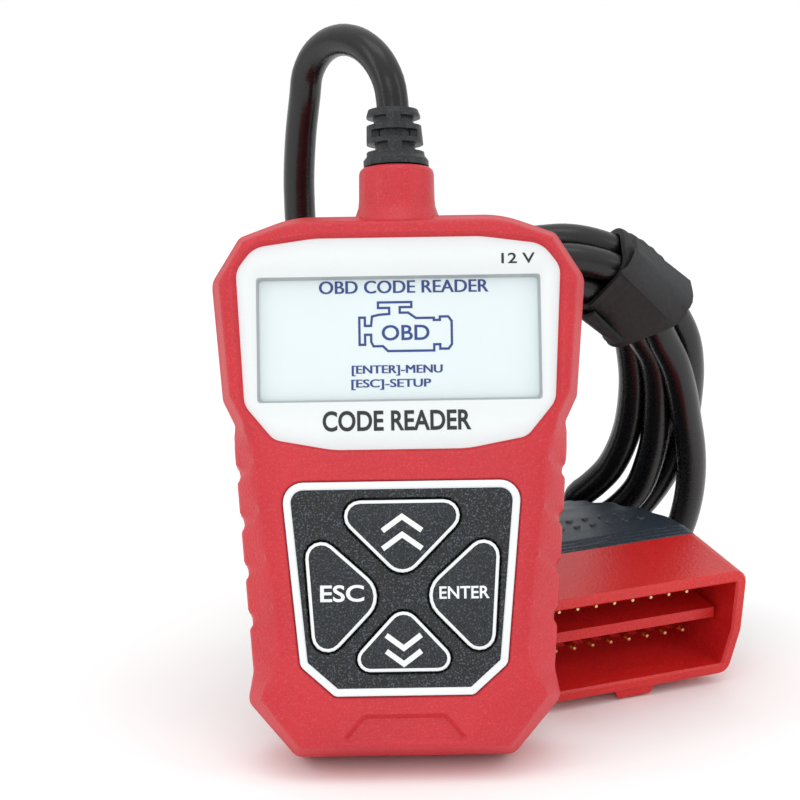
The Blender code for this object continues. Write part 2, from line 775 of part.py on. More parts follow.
def cable_strap(mat):
    """Hook and loop strap round the bundle, following its bend."""
    steps = 8
    inner_half = COIL_BUNDLE + 0.35 * MM
    outer_half = inner_half + STRAP_THICK
    angles = [radians(STRAP_FROM + (STRAP_TO - STRAP_FROM) * k / steps)
              for k in range(steps + 1)]
    rows = [bundle_ring(a, outer_half, 4.8 * MM) for a in angles]
    rows += [bundle_ring(a, inner_half, 3.4 * MM) for a in reversed(angles)]
    return hoop("cable_strap", rows, mat, ground)


cable_strap(material("strap_black", (0.02, 0.02, 0.02), 0.9))


# ---------------------------------------------------------------- stretched cord

def reader_point(x, y, z):
    """A point of the reader's own frame, in the ground frame."""
    turn = Matrix.Rotation(-radians(LEAN), 4, "X")
    return turn @ Vector((x, y, z)) + Vector((0.0, 0.0, READER_LIFT))


relief_shift = -(RELIEF_TOP - 107.3 * MM) * tan(radians(RELIEF_LEAN))
lead_start = reader_point(relief_shift, 0.0, RELIEF_TOP + 2.5 * CORD_GAP)
lead_push = reader_point(relief_shift - 0.2 * MM, 0.0, RELIEF_TOP + 4.0 * MM)
land_angle = radians(152.0)
land_point, land_out = coil_frame(land_angle)
lead_end = land_point + land_out * (COIL_BUNDLE + 1.5 * CORD_GAP)
ARCH_RADIUS = 12.2 * MM
ARCH_ACROSS = Vector((-0.688, 0.726, 0.0))
arch_foot = lead_start + (lead_push - lead_start) * 0.45
arch_middle = arch_foot + ARCH_ACROSS * ARCH_RADIUS
LEAD_DROP = (
    (-18.4, 56.2, 105.0),
    (-18.9, 57.4, 94.6),
    (-18.5, 58.4, 84.4),
    (-14.9, 58.6, 75.2),
)
lead_route = [lead_start]
for step in range(9):
    angle = pi * step / 8
    lead_route.append(arch_middle - ARCH_ACROSS * ARCH_RADIUS * cos(angle)
                      + Vector((0.0, 0.0, ARCH_RADIUS * sin(angle))))
lead_route += [Vector(p) * MM for p in LEAD_DROP]
lead_route += [lead_end + land_out * k * 3.4 * MM for k in (2, 1, 0)]
tube("cable_lead", smooth_route(lead_route, 3.4 * MM), CORD_RADIUS,
     material("lead_black", CORD_BLACK, 0.36), ground)


def plug_point(x, s, z):
    """A point of the plug's own frame, s metres behind the rim."""
    turn = Matrix.Rotation(radians(PLUG_TURN), 4, "Z")
    pitch = Matrix.Rotation(radians(PLUG_PITCH), 4, "X")
    return turn @ pitch @ Vector((x, s, z)) + PLUG_FOOT


tail_start = plug_point(0.0, BOOT_END + CORD_GAP, PLUG_HEIGHT / 2)
tail_push = plug_point(0.0, BOOT_END + 4.0 * MM, PLUG_HEIGHT / 2)
tail_point, tail_out = coil_frame(radians(196.0))
tail_end = tail_point - COIL_NORMAL * (COIL_BUNDLE + 1.5 * CORD_GAP)
TAIL_MIDDLE = (
    (13.2, 101.0, 23.6),
    (6.4, 107.6, 26.4),
    (-1.2, 107.6, 31.6),
    (-4.2, 101.0, 37.4),
)
tail_route = [tail_start, tail_push]
tail_route += [Vector(p) * MM for p in TAIL_MIDDLE]
tail_route += [tail_end - COIL_NORMAL * k * 3.4 * MM for k in (3, 2, 1, 0)]
tube("cable_tail", smooth_route(tail_route, 3.4 * MM), CORD_RADIUS,
     material("tail_black", CORD_BLACK, 0.36), ground)


# -------------------------------------------------------------------- plug

def plug_outline(wall=0.0):
    """Section of the plug shroud: wide side up."""
    top = PLUG_HALF_TOP
    low = PLUG_HALF_BOTTOM
    return [(low, 0.0, 2.6 * MM), (top, PLUG_HEIGHT * 0.42, 4.0 * MM),
            (top, PLUG_HEIGHT, 2.6 * MM), (-top, PLUG_HEIGHT, 2.6 * MM),
            (-top, PLUG_HEIGHT * 0.42, 4.0 * MM), (-low, 0.0, 2.6 * MM)]


def pin_places():
    """Number, x and z of every pin; pin 1 is at the upper left."""
    middle = PLUG_HEIGHT / 2
    places = []
    for k in range(8):
        x = (k - 3.5) * PIN_PITCH
        places.append((k + 1, x, middle + PIN_ROW / 2))
    for k in range(8):
        x = (k - 3.5) * PIN_PITCH
        places.append((k + 9, x, middle - PIN_ROW / 2))
    return places


def plug_shroud(mat):
    outline = plug_outline()
    stations = [(22.0 * MM, 3.0 * MM), (SHROUD_LENGTH, 3.0 * MM),
                (SHROUD_LENGTH, 0.0), (0.5 * MM, 0.0), (0.0, 0.4 * MM),
                (0.0, PLUG_WALL - 0.4 * MM), (0.4 * MM, PLUG_WALL),
                (CAVITY_DEPTH, PLUG_WALL + 0.4 * MM)]
    body = loft("plug_shroud", slab(outline, stations, 4), mat, plug)
    middle = PLUG_HEIGHT / 2
    # Central blade between the two rows.
    blade = box("blade", (-19.2 * MM, BLADE_START, middle - 1.1 * MM),
                (19.2 * MM, CAVITY_DEPTH + 1 * MM, middle + 1.1 * MM), group=cutters)
    join(body, blade)
    # Keying rib under the shroud.
    rib = bmesh.new()
    section = ((-4.6, 1.0), (-3.5, -1.6), (3.5, -1.6), (4.6, 1.0))
    front = [rib.verts.new((x * MM, 0.6 * MM, z * MM)) for x, z in section]
    rear = [rib.verts.new((x * MM, SHROUD_LENGTH - 2 * MM, z * MM))
            for x, z in section]
    for i in range(4):
        j = (i + 1) % 4
        rib.faces.new((front[i], front[j], rear[j], rear[i]))
    rib.faces.new(list(reversed(front)))
    rib.faces.new(rear)
    join(body, finish("rib", rib, None, group=cutters))
    for number, x, z in pin_places():
        hole = turned("hole", ((PIN_RADIUS + 0.2 * MM, 10 * MM),
                               (PIN_RADIUS + 0.2 * MM, 26 * MM)),
                      axis="Y", segments=8, group=cutters)
        for v in hole.data.vertices:
            v.co.x += x
            v.co.z += z
        cut(body, hole)
    return body


def pin(number, x, z, mat):
    profile = ((PIN_RADIUS * 0.4, PIN_TIP), (PIN_RADIUS, PIN_TIP + 1.0 * MM),
               (PIN_RADIUS, 24.0 * MM))
    body = turned("pin_%02d" % number, profile, mat, plug, segments=8, axis="Y",
                  smooth=False)
    body.location = (x, 0.0, z)
    return body


def plug_shell(mat):
    """Overmoulded grip behind the shroud, narrowing to the boot."""
    middle = PLUG_HEIGHT / 2
    stations = ((SHROUD_LENGTH + 0.3 * MM, 1.0, 1.0), (21.0 * MM, 1.0, 1.0),
                (26.0 * MM, 0.97, 0.99), (32.0 * MM, 0.86, 0.96),
                (38.0 * MM, 0.70, 0.88), (43.0 * MM, 0.52, 0.78),
                (SHELL_END - 0.8 * MM, 0.42, 0.70), (SHELL_END, 0.38, 0.62))
    rings = []
    for y, wide, tall in stations:
        ring = []
        for x, z in rounded(plug_outline(), 0.0, 4):
            ring.append(Vector((x * wide, y, middle + (z - middle) * tall)))
        rings.append(ring)
    body = loft("plug_shell", rings, mat, plug)
    pocket = loft("pocket", slab(plug_outline(), ((10 * MM, 2.7 * MM),
                                                  (25.0 * MM, 2.7 * MM)), 4),
                  None, group=cutters)
    cut(body, pocket)
    # Shallow panel on the upper face.
    panel = box("panel", (-13 * MM, 27 * MM, -0.4 * MM), (13 * MM, 33 * MM, 2 * MM),
                group=cutters)
    panel.data.transform(Matrix.Translation((0.0, 0.0, PLUG_HEIGHT - 0.35 * MM)))
    cut(body, panel)
    cord_hole = turned("cord_hole", ((2.2 * MM, 24 * MM), (2.2 * MM, 60 * MM)),
                       axis="Y", segments=12, group=cutters)
    cord_hole.data.transform(Matrix.Translation((0.0, 0.0, middle)))
    cut(body, cord_hole)
    return body


def plug_boot(mat):
    """Ringed sleeve where the cord leaves the plug."""
    start = SHELL_END + 0.3 * MM
    profile = [(4.9 * MM, start), (4.9 * MM, start + 1.2 * MM)]
    y = start + 1.2 * MM
    radius = BOOT_RADIUS
    while y < BOOT_END - 3.6 * MM:
        profile.append((radius - 0.7 * MM, y + 0.1 * MM))
        profile.append((radius - 0.7 * MM, y + 1.3 * MM))
        profile.append((radius, y + 1.4 * MM))
        profile.append((radius, y + 2.9 * MM))
        y += 2.9 * MM
        radius -= 0.16 * MM
    profile.append((3.2 * MM, BOOT_END))
    body = turned("plug_boot", profile, mat, plug, segments=20, axis="Y",
                  smooth=False)
    body.location = (0.0, 0.0, PLUG_HEIGHT / 2)
    return body


plug_shroud(material("shroud_red", PLUG_RED, 0.4))
for pin_number, pin_x, pin_z in pin_places():
    pin(pin_number, pin_x, pin_z,
        material("pin_%02d" % pin_number, GOLD, 0.3, 1.0))
plug_shell(material("shell_blue", BLUE_BLACK, 0.42))
plug_boot(material("boot_blue", BLUE_BLACK, 0.5))


# ----------------------------------------------- stand it on the ground plane

CORD_PIECES = ("cable_lead", "cable_coil", "cable_tail", "cable_strap",
               "plug_shroud", "plug_shell", "plug_boot")


def settle():
    """Centre the reader's own box over the origin, with its lowest point on the
    ground."""
    bpy.context.view_layer.update()
    low = Vector((1e9, 1e9, 1e9))
    high = -low
    for obj in parts.objects:
        if obj.type != "MESH":
            continue
        if obj.name in CORD_PIECES or obj.name.startswith("pin_"):
            continue
        for v in obj.data.vertices:
            p = obj.matrix_world @ v.co
            for i in range(3):
                low[i] = min(low[i], p[i])
                high[i] = max(high[i], p[i])
    reader.location.z -= low.z
    ground.location.y = -(low.y + high.y) / 2
    ground.location.x = -(low.x + high.x) / 2
    bpy.context.view_layer.update()


settle()
bpy.data.collections.remove(cutters)
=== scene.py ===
import bmesh
import bpy
from math import atan2, cos, hypot, pi, radians, sin, sqrt, tan
from mathutils import Matrix, Vector
from mathutils.bvhtree import BVHTree

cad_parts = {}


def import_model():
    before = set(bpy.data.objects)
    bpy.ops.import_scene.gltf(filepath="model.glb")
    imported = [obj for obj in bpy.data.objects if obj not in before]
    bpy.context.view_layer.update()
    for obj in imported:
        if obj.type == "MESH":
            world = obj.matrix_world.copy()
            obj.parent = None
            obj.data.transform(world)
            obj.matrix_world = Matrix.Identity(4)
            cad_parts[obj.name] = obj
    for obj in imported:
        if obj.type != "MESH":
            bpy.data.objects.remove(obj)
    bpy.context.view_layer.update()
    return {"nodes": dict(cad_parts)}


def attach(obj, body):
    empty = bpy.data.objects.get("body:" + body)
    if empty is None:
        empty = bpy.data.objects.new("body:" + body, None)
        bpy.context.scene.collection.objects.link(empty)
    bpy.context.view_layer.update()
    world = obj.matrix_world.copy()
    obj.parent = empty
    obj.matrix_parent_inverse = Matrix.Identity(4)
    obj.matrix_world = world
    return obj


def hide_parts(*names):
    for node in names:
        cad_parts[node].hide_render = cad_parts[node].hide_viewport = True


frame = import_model()
NODES = frame["nodes"]

MM = 0.001
GROUND_Y = -0.016186
READER = (Matrix.Translation((0.0, GROUND_Y, 0.001412))
          @ Matrix.Rotation(-radians(18.0), 4, "X"))
PLUG = (Matrix.Translation((0.0446, 0.0304 + GROUND_Y, 0.0019))
        @ Matrix.Rotation(radians(24.0), 4, "Z") @ Matrix.Rotation(radians(9.0), 4, "X"))


def reader_at(x, y, z):
    """World point from the reader's own millimetres."""
    return READER @ (Vector((x, y, z)) * MM)


def plug_at(x, s, z):
    return PLUG @ (Vector((x, s, z)) * MM)


def world(x, y, z):
    """World point from the design's ground millimetres."""
    return Vector((x * MM, y * MM + GROUND_Y, z * MM))


# ------------------------------------------------------------------- camera

CAMERA_RISE = radians(14.0)
CAMERA_ROLL = radians(-0.9)
CAMERA_AWAY = 0.450
target = reader_at(0.0, -10.0, 63.7)
back = Vector((0.0, -cos(CAMERA_RISE), sin(CAMERA_RISE)))
cam_data = bpy.data.cameras.new("camera")
cam_data.sensor_width = 36.0
cam_data.lens = 113.4
cam_data.clip_start = 0.02
cam = bpy.data.objects.new("camera", cam_data)
bpy.context.scene.collection.objects.link(cam)
cam.matrix_world = (Matrix.Translation(target + back * CAMERA_AWAY)
                    @ (-back).to_track_quat("-Z", "Y").to_matrix().to_4x4()
                    @ Matrix.Rotation(CAMERA_ROLL, 4, "Z"))
bpy.context.scene.camera = cam


# ---------------------------------------------------------------- materials

def linear(rgb):
    out = []
    for v in rgb:
        v = v / 255.0
        out.append(v / 12.92 if v <= 0.04045 else ((v + 0.055) / 1.055) ** 2.4)
    return (*out, 1.0)


def finish_of(name, rgb, rough, speck=2600.0, bump=0.15, vary=0.10, metal=0.0,
              coat=0.0, depth=0.00006, spread=0.10, patch=70.0, grains=0.0, light=None):
    """Moulded surface: fine grain in the bump, slow drift in colour and gloss."""
    mat = bpy.data.materials.new(name)
    mat.use_nodes = True
    nt = mat.node_tree
    shader = nt.nodes["Principled BSDF"]
    coord = nt.nodes.new("ShaderNodeTexCoord")
    slow = nt.nodes.new("ShaderNodeTexNoise")
    slow.inputs["Scale"].default_value = patch
    slow.inputs["Detail"].default_value = 3.0
    fine = nt.nodes.new("ShaderNodeTexNoise")
    fine.inputs["Scale"].default_value = speck
    fine.inputs["Detail"].default_value = 2.0
    for node in (slow, fine):
        nt.links.new(coord.outputs["Object"], node.inputs["Vector"])
    mix = nt.nodes.new("ShaderNodeMath")
    mix.operation = "MULTIPLY_ADD"
    mix.inputs[1].default_value = 0.45
    nt.links.new(fine.outputs["Fac"], mix.inputs[0])
    half = nt.nodes.new("ShaderNodeMath")
    half.operation = "MULTIPLY"
    half.inputs[1].default_value = 0.55
    nt.links.new(slow.outputs["Fac"], half.inputs[0])
    nt.links.new(half.outputs[0], mix.inputs[2])
    ramp = nt.nodes.new("ShaderNodeValToRGB")
    ramp.color_ramp.elements[0].position = 0.32
    ramp.color_ramp.elements[1].position = 0.68
    base = linear(rgb)
    ramp.color_ramp.elements[0].color = (*[c * (1 - vary) for c in base[:3]], 1)
    ramp.color_ramp.elements[1].color = (*[min(1, c * (1 + vary)) for c in base[:3]], 1)
    nt.links.new(mix.outputs[0], ramp.inputs["Fac"])
    shade = ramp.outputs["Color"]
    if grains:
        dust = nt.nodes.new("ShaderNodeTexNoise")
        dust.inputs["Scale"].default_value = 3300.0
        dust.inputs["Detail"].default_value = 1.0
        nt.links.new(coord.outputs["Object"], dust.inputs["Vector"])
        cut = nt.nodes.new("ShaderNodeMapRange")
        cut.inputs["From Min"].default_value = 0.54
        cut.inputs["From Max"].default_value = 0.68
        cut.inputs["To Max"].default_value = grains
        nt.links.new(dust.outputs["Fac"], cut.inputs["Value"])
        blend = nt.nodes.new("ShaderNodeMixRGB")
        blend.inputs["Color2"].default_value = linear(light)
        nt.links.new(cut.outputs["Result"], blend.inputs["Fac"])
        nt.links.new(shade, blend.inputs["Color1"])
        shade = blend.outputs["Color"]
    nt.links.new(shade, shader.inputs["Base Color"])
    gloss = nt.nodes.new("ShaderNodeMapRange")
    gloss.inputs["To Min"].default_value = max(0.03, rough - spread / 2)
    gloss.inputs["To Max"].default_value = min(1.0, rough + spread / 2)
    nt.links.new(mix.outputs[0], gloss.inputs["Value"])
    nt.links.new(gloss.outputs["Result"], shader.inputs["Roughness"])
    bumps = nt.nodes.new("ShaderNodeBump")
    bumps.inputs["Strength"].default_value = bump
    bumps.inputs["Distance"].default_value = depth
    nt.links.new(fine.outputs["Fac"], bumps.inputs["Height"])
    nt.links.new(bumps.outputs["Normal"], shader.inputs["Normal"])
    shader.inputs["Metallic"].default_value = metal
    shader.inputs["Coat Weight"].default_value = coat
    return mat


RED = finish_of("red_plastic", (196, 32, 44), 0.36, 2100, 0.90, 0.09, depth=0.00013,
                grains=0.3, light=(222, 84, 92))
PLUG_RED = finish_of("plug_red_plastic", (204, 28, 28), 0.36, 1900, 0.90, 0.09, depth=0.00010,
                     grains=0.35, light=(232, 84, 84))
WHITE = finish_of("white_plastic", (228, 233, 234), 0.30, 2600, 0.06, 0.015)
GREY = finish_of("grey_plastic", (168, 176, 178), 0.5, 2600, 0.12, 0.04)
SCREEN = finish_of("lcd_surface", (219, 231, 233), 0.22, 5200, 0.03, 0.012)
NAVY = finish_of("lcd_segments", (38, 62, 128), 0.4, 5200, 0.05, 0.06)
INK = finish_of("printed_ink", (30, 31, 35), 0.45, 3000, 0.08, 0.08)
PAINT = finish_of("white_print", (236, 240, 242), 0.4, 3000, 0.10, 0.02)
PANEL = finish_of("keypad_film", (6, 8, 11), 0.42, 1500, 1.0, 0.45, depth=0.00030,
                  grains=1.0, light=(74, 84, 94))
KEY = finish_of("key_rubber", (14, 18, 23), 0.40, 1700, 1.0, 0.35, depth=0.00024,
                grains=1.0, light=(66, 76, 86))
RELIEF = finish_of("relief_rubber", (12, 17, 22), 0.42, 2000, 0.35, 0.12, grains=0.6,
                   light=(62, 70, 76))
JACKET = finish_of("cord_jacket", (7, 7, 8), 0.27, 1500, 0.30, 0.20, depth=0.00010)
SHELL = finish_of("shell_plastic", (38, 48, 58), 0.42, 1500, 0.60, 0.22, depth=0.00012,
                  grains=0.6, light=(82, 94, 104))
FABRIC = finish_of("hook_fabric", (22, 23, 24), 0.62, 1300, 1.0, 0.30, depth=0.00012)
FUZZ = finish_of("loop_fabric", (40, 41, 43), 0.66, 1000, 1.0, 0.30, depth=0.00014)
GOLD = finish_of("pin_gold", (226, 200, 140), 0.24, 2600, 0.06, 0.05, 1.0)
STEEL = finish_of("steel", (176, 178, 182), 0.30, 2600, 0.10, 0.06, 1.0)
BOARD = finish_of("board_mask", (22, 92, 56), 0.4, 1500, 0.2, 0.12)
CHIP = finish_of("component_black", (30, 31, 34), 0.55, 2600, 0.3, 0.12)
SLEEVE = finish_of("capacitor_sleeve", (32, 42, 78), 0.35, 2600, 0.10, 0.08)
LABEL = finish_of("label_film", (198, 200, 203), 0.42, 900, 0.08, 0.04)
AMBER = finish_of("flex_film", (176, 118, 44), 0.35, 900, 0.10, 0.12)


# ------------------------------------------------------------- mesh helpers

def object_from(name, bm, mat, body="reader", sharp=30.0, mats=None):
    """Finished mesh that rides on a body; closed meshes face outwards."""
    bmesh.ops.recalc_face_normals(bm, faces=bm.faces)
    mesh = bpy.data.meshes.new(name)
    bm.to_mesh(mesh)
    bm.free()
    for one in (mats or [mat]):
        mesh.materials.append(one)
    for face in mesh.polygons:
        face.use_smooth = True
    mesh.set_sharp_from_angle(angle=radians(sharp))
    obj = bpy.data.objects.new(name, mesh)
    bpy.context.scene.collection.objects.link(obj)
    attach(obj, body)
    return obj


def arcs_of(corners, inset, steps, floor=0.12):
    """Rounded corners of a polygon (x, z, radius) in mm, moved in by inset."""
    count = len(corners)
    lines = []
    for i in range(count):
        x0, z0 = corners[i][:2]
        x1, z1 = corners[(i + 1) % count][:2]
        length = hypot(x1 - x0, z1 - z0)
        dx = (x1 - x0) / length
        dz = (z1 - z0) / length
        lines.append((x0 - dz * inset, z0 + dx * inset, dx, dz))
    arcs = []
    for i in range(count):
        ax, az, adx, adz = lines[i - 1]
        bx, bz, bdx, bdz = lines[i]
        cross = adx * bdz - adz * bdx
        along = ((bx - ax) * bdz - (bz - az) * bdx) / cross
        px = ax + adx * along
        pz = az + adz * along
        turn = atan2(cross, adx * bdx + adz * bdz)
        radius = corners[i][2] - inset if turn > 0 else corners[i][2] + inset
        radius = max(radius, floor)
        reach = radius * abs(tan(turn / 2))
        side = 1.0 if turn > 0 else -1.0
        cx = px - adx * reach - adz * radius * side
        cz = pz - adz * reach + adx * radius * side
        start = atan2(pz - adz * reach - cz, px - adx * reach - cx)
        arcs.append([(cx + radius * cos(start + turn * k / steps),
                      cz + radius * sin(start + turn * k / steps))
                     for k in range(steps + 1)])
    return arcs


def cuts_of(corners, steps, spacing):
    arcs = arcs_of(corners, 0.0, steps)
    cuts = []
    for i, arc in enumerate(arcs):
        far = arcs[(i + 1) % len(arcs)][0]
        cuts.append(max(0, int(hypot(far[0] - arc[-1][0], far[1] - arc[-1][1]) / spacing)))
    return cuts


def ring_of(corners, inset=0.0, steps=6, cuts=None):
    arcs = arcs_of(corners, inset, steps)
    out = []
    for i, arc in enumerate(arcs):
        out += arc
        if cuts:
            ax, az = arc[-1]
            bx, bz = arcs[(i + 1) % len(arcs)][0]
            for k in range(1, cuts[i] + 1):
                t = k / (cuts[i] + 1)
                out.append((ax + (bx - ax) * t, az + (bz - az) * t))
    return out


def mirrored(half):
    return list(half) + [(-x, z, r) for x, z, r in reversed(half)]


def rectangle(half, low, high, radius):
    return [(half, low, radius), (half, high, radius),
            (-half, high, radius), (-half, low, radius)]


def loop(bm, points, y, place=reader_at):
    """Ring of vertices; y is one depth or one per point."""
    rows = []
    for i, (x, z) in enumerate(points):
        rows.append(bm.verts.new(place(x, y[i] if isinstance(y, list) else y, z)))
    return rows


def bridge(bm, a, b, index=0):
    for i in range(len(a)):
        j = (i + 1) % len(a)
        face = bm.faces.new((a[i], a[j], b[j], b[i]))
        face.material_index = index


def fill(bm, loops, index=0):
    """Flat face between loops: the first is the outside, the rest are holes."""
    edges = []
    for ring in loops:
        for i in range(len(ring)):
            pair = (ring[i], ring[(i + 1) % len(ring)])
            edge = bm.edges.get(pair)
            edges.append(edge if edge else bm.edges.new(pair))
    made = bmesh.ops.triangle_fill(bm, edges=edges, use_beauty=True, use_dissolve=False)
    for item in made["geom"]:
        if isinstance(item, bmesh.types.BMFace):
            item.material_index = index


def smooth(t):
    t = min(1.0, max(0.0, t))
    return t * t * (3 - 2 * t)


def between(table, x):
    """Smooth interpolation in a table of (x, value) pairs."""
    if x <= table[0][0]:
        return table[0][1]
    for (x0, v0), (x1, v1) in zip(table, table[1:]):
        if x <= x1:
            return v0 + (v1 - v0) * smooth((x - x0) / (x1 - x0))
    return table[-1][1]


def flow(table, x):
    """Cubic through a table of (x, value) pairs, with no flat spots at its keys."""
    if x <= table[0][0]:
        return table[0][1]
    if x >= table[-1][0]:
        return table[-1][1]
    slopes = [0.0]
    for k in range(1, len(table) - 1):
        slopes.append((table[k + 1][1] - table[k - 1][1])
                      / (table[k + 1][0] - table[k - 1][0]))
    slopes.append(0.0)
    for k in range(len(table) - 1):
        x0, v0 = table[k]
        x1, v1 = table[k + 1]
        if x <= x1:
            h = x1 - x0
            t = (x - x0) / h
            return ((2 * t ** 3 - 3 * t * t + 1) * v0 + (t ** 3 - 2 * t * t + t) * h * slopes[k]
                    + (3 * t * t - 2 * t ** 3) * v1 + (t ** 3 - t * t) * h * slopes[k + 1])
    return table[-1][1]


def curve_through(route, spacing):
    """Evenly spaced points on a smooth curve through the route."""
    pts = [Vector(p) for p in route]
    dense = []
    for i in range(len(pts) - 1):
        p0 = pts[i - 1] if i > 0 else pts[0] * 2 - pts[1]
        p1 = pts[i]
        p2 = pts[i + 1]
        p3 = pts[i + 2] if i + 2 < len(pts) else pts[-1] * 2 - pts[-2]
        for k in range(14):
            t = k / 14
            dense.append((p1 * 2 + (p2 - p0) * t
                          + (p0 * 2 - p1 * 5 + p2 * 4 - p3) * t * t
                          + (p1 * 3 - p0 - p2 * 3 + p3) * t * t * t) / 2)
    dense.append(pts[-1])
    total = sum((b - a).length for a, b in zip(dense, dense[1:]))
    steps = max(2, round(total / spacing))
    out = [dense[0]]
    walked = 0.0
    for a, b in zip(dense, dense[1:]):
        length = (b - a).length
        while len(out) < steps and walked + length >= total * len(out) / steps:
            out.append(a.lerp(b, (total * len(out) / steps - walked) / length))
        walked += length
    out.append(dense[-1])
    return out, total


def tube(name, points, radius, mat, sides=20):
    """Round closed tube whose section doesn't twist along its route."""
    bm = bmesh.new()
    tangents = []
    for i in range(len(points)):
        a = points[max(0, i - 1)]
        b = points[min(len(points) - 1, i + 1)]
        tangents.append((b - a).normalized())
    side = tangents[0].orthogonal().normalized()
    rows = []
    for point, tangent in zip(points, tangents):
        side = (side - tangent * side.dot(tangent)).normalized()
        other = tangent.cross(side)
        rows.append([bm.verts.new(point + side * radius * cos(2 * pi * k / sides)
                                  + other * radius * sin(2 * pi * k / sides))
                     for k in range(sides)])
    for a, b in zip(rows, rows[1:]):
        bridge(bm, a, b)
    bm.faces.new(rows[0])
    bm.faces.new(rows[-1])
    return object_from(name, bm, mat, sharp=50.0)


# --------------------------------------------------------------------- cord

CORD_RADIUS = 3.0
CORD_STEP = 0.0014
COIL_X = 29.0
COIL_Y = 66.5
COIL_Z = 47.4
COIL_A = 28.5
COIL_B = 44.6
LEAN = radians(26.6)
# How far the coil's top is drawn in, by degrees round it.
PULL = ((16, 0.0), (36, -2.2), (56, -3.2), (76, -4.8), (98, -5.8), (120, -4.2), (150, 0.0))


def coil_at(degrees, u, w):
    """World point near the coil: u outwards in its plane, w towards the reader."""
    t = radians(degrees)
    nx = COIL_B * cos(t)
    nv = COIL_A * sin(t)
    size = hypot(nx, nv)
    u += flow(PULL, degrees)
    x = COIL_A * cos(t) + nx / size * u
    v = COIL_B * sin(t) + nv / size * u
    return world(COIL_X + x, COIL_Y - v * sin(LEAN) - w * cos(LEAN),
                 COIL_Z + v * cos(LEAN) - w * sin(LEAN))


# Half the spacing of the four strands, and their places in the bundle.
SLOT = 3.05
SLOTS = ((-SLOT, -SLOT), (-SLOT, SLOT), (SLOT, SLOT), (SLOT, -SLOT))
# Fan on the right: (degrees, outward, forward) for each passing strand.
FANS = (
    ((-92, -3.05, -3.05), (-72, -6.6, -3.05), (-48, -13.6, -3.0), (-32, -12.1, -2.6),
     (-14, -11.0, -2.5), (4, -10.4, -2.5), (22, -9.2, -2.6), (38, -5.6, -3.0),
     (56, -3.05, -3.05)),
    ((-92, -3.05, 3.05), (-72, -6.0, 3.05), (-48, -8.2, 1.4), (-32, -5.7, 1.0),
     (-14, -5.4, 0.4), (4, -5.6, 0.2), (22, -5.0, 0.6), (38, -3.9, 1.9),
     (56, -3.05, 3.05)),
    ((-104, 3.05, 3.05), (-84, 3.2, 3.0), (-66, 6.2, 2.6), (-48, 8.0, 2.6),
     (-30, 5.4, 3.0), (-14, 2.6, 3.2), (4, -0.3, 3.6), (22, -1.0, 3.9),
     (38, 0.4, 3.6), (58, 3.05, 3.05)),
    ((-92, 3.05, -3.05), (-70, 1.2, -3.2), (-50, -1.0, -3.4), (-30, -0.4, -3.3),
     (-14, 0.4, -3.2), (4, 0.8, -3.1), (22, 1.8, -3.05), (38, 2.9, -3.05),
     (56, 3.05, -3.05)),
)


def strand(turn, degrees):
    """Offsets of a pass at an angle from -110 to 250 round the coil."""
    if degrees < 60:
        fan = FANS[turn]
        return (flow([(d, u) for d, u, w in fan], degrees),
                flow([(d, w) for d, u, w in fan], degrees))
    a = SLOTS[turn]
    b = SLOTS[(turn + 1) % 4]
    share = smooth((degrees - 100) / 120)
    angle = atan2(a[1], a[0])
    swing = atan2(b[1], b[0]) - angle
    swing = (swing + pi) % (2 * pi) - pi
    angle += swing * share
    return SLOT * sqrt(2) * cos(angle), SLOT * sqrt(2) * sin(angle)


relief_shift = -10.5 * tan(radians(2.6))
lead_foot = reader_at(relief_shift, 0.0, 118.55)
lead_on = reader_at(relief_shift - 0.2, 0.0, 121.8)
arch_foot = lead_foot - (lead_on - lead_foot) * 0.05
across = Vector((-0.688, 0.726, 0.0))
ARCH_HALF = 0.0122
ARCH_HEIGHT = 0.0116
arch_mid = arch_foot + across * ARCH_HALF
route = [reader_at(relief_shift + 0.03, 0.0, 117.6)]
for step in range(9):
    angle = pi * step / 8
    route.append(arch_mid - across * ARCH_HALF * cos(angle)
                 + Vector((0.0, 0.0, ARCH_HEIGHT * sin(angle))))
route += [world(*p) for p in ((-18.4, 56.2, 105.0), (-18.9, 57.2, 94.6),
                              (-18.0, 56.2, 84.4), (-13.0, 52.8, 74.6))]
# Across the front of the bundle, then into the inner rear place.
for degrees, u, w in ((152, 6.0, 9.6), (166, 2.8, 10.6), (180, -1.0, 10.6),
                      (194, -5.0, 9.8), (208, -8.6, 7.0), (222, -9.8, 3.0),
                      (236, -8.2, -1.2), (250, -4.6, -3.0)):
    route.append(coil_at(degrees, u, w))
for turn in range(4):
    for degrees in range(-98, 250 if turn < 3 else 100, 10):
        route.append(coil_at(degrees, *strand(turn, degrees)))
for degrees, u, w in ((104, 3.1, -3.4), (118, 3.4, -4.8), (132, 3.6, -7.4),
                      (146, 3.4, -10.2), (158, 2.6, -13.0)):
    route.append(coil_at(degrees, u, w))
route += [world(*p) for p in ((-3.6, 83.0, 43.0), (-7.6, 92.0, 36.0),
                              (-7.4, 100.6, 30.6), (-1.8, 106.0, 27.4),
                              (5.6, 106.2, 25.8), (11.2, 102.2, 24.9))]
route += [plug_at(0.0, s, 11.0) for s in (73.0, 68.5, 64.1)]
centre, cord_length = curve_through(route, CORD_STEP)
cord = tube("cord", centre, CORD_RADIUS * MM, JACKET)
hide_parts("cable_lead", "cable_coil", "cable_tail")


# -------------------------------------------------------------- front cover

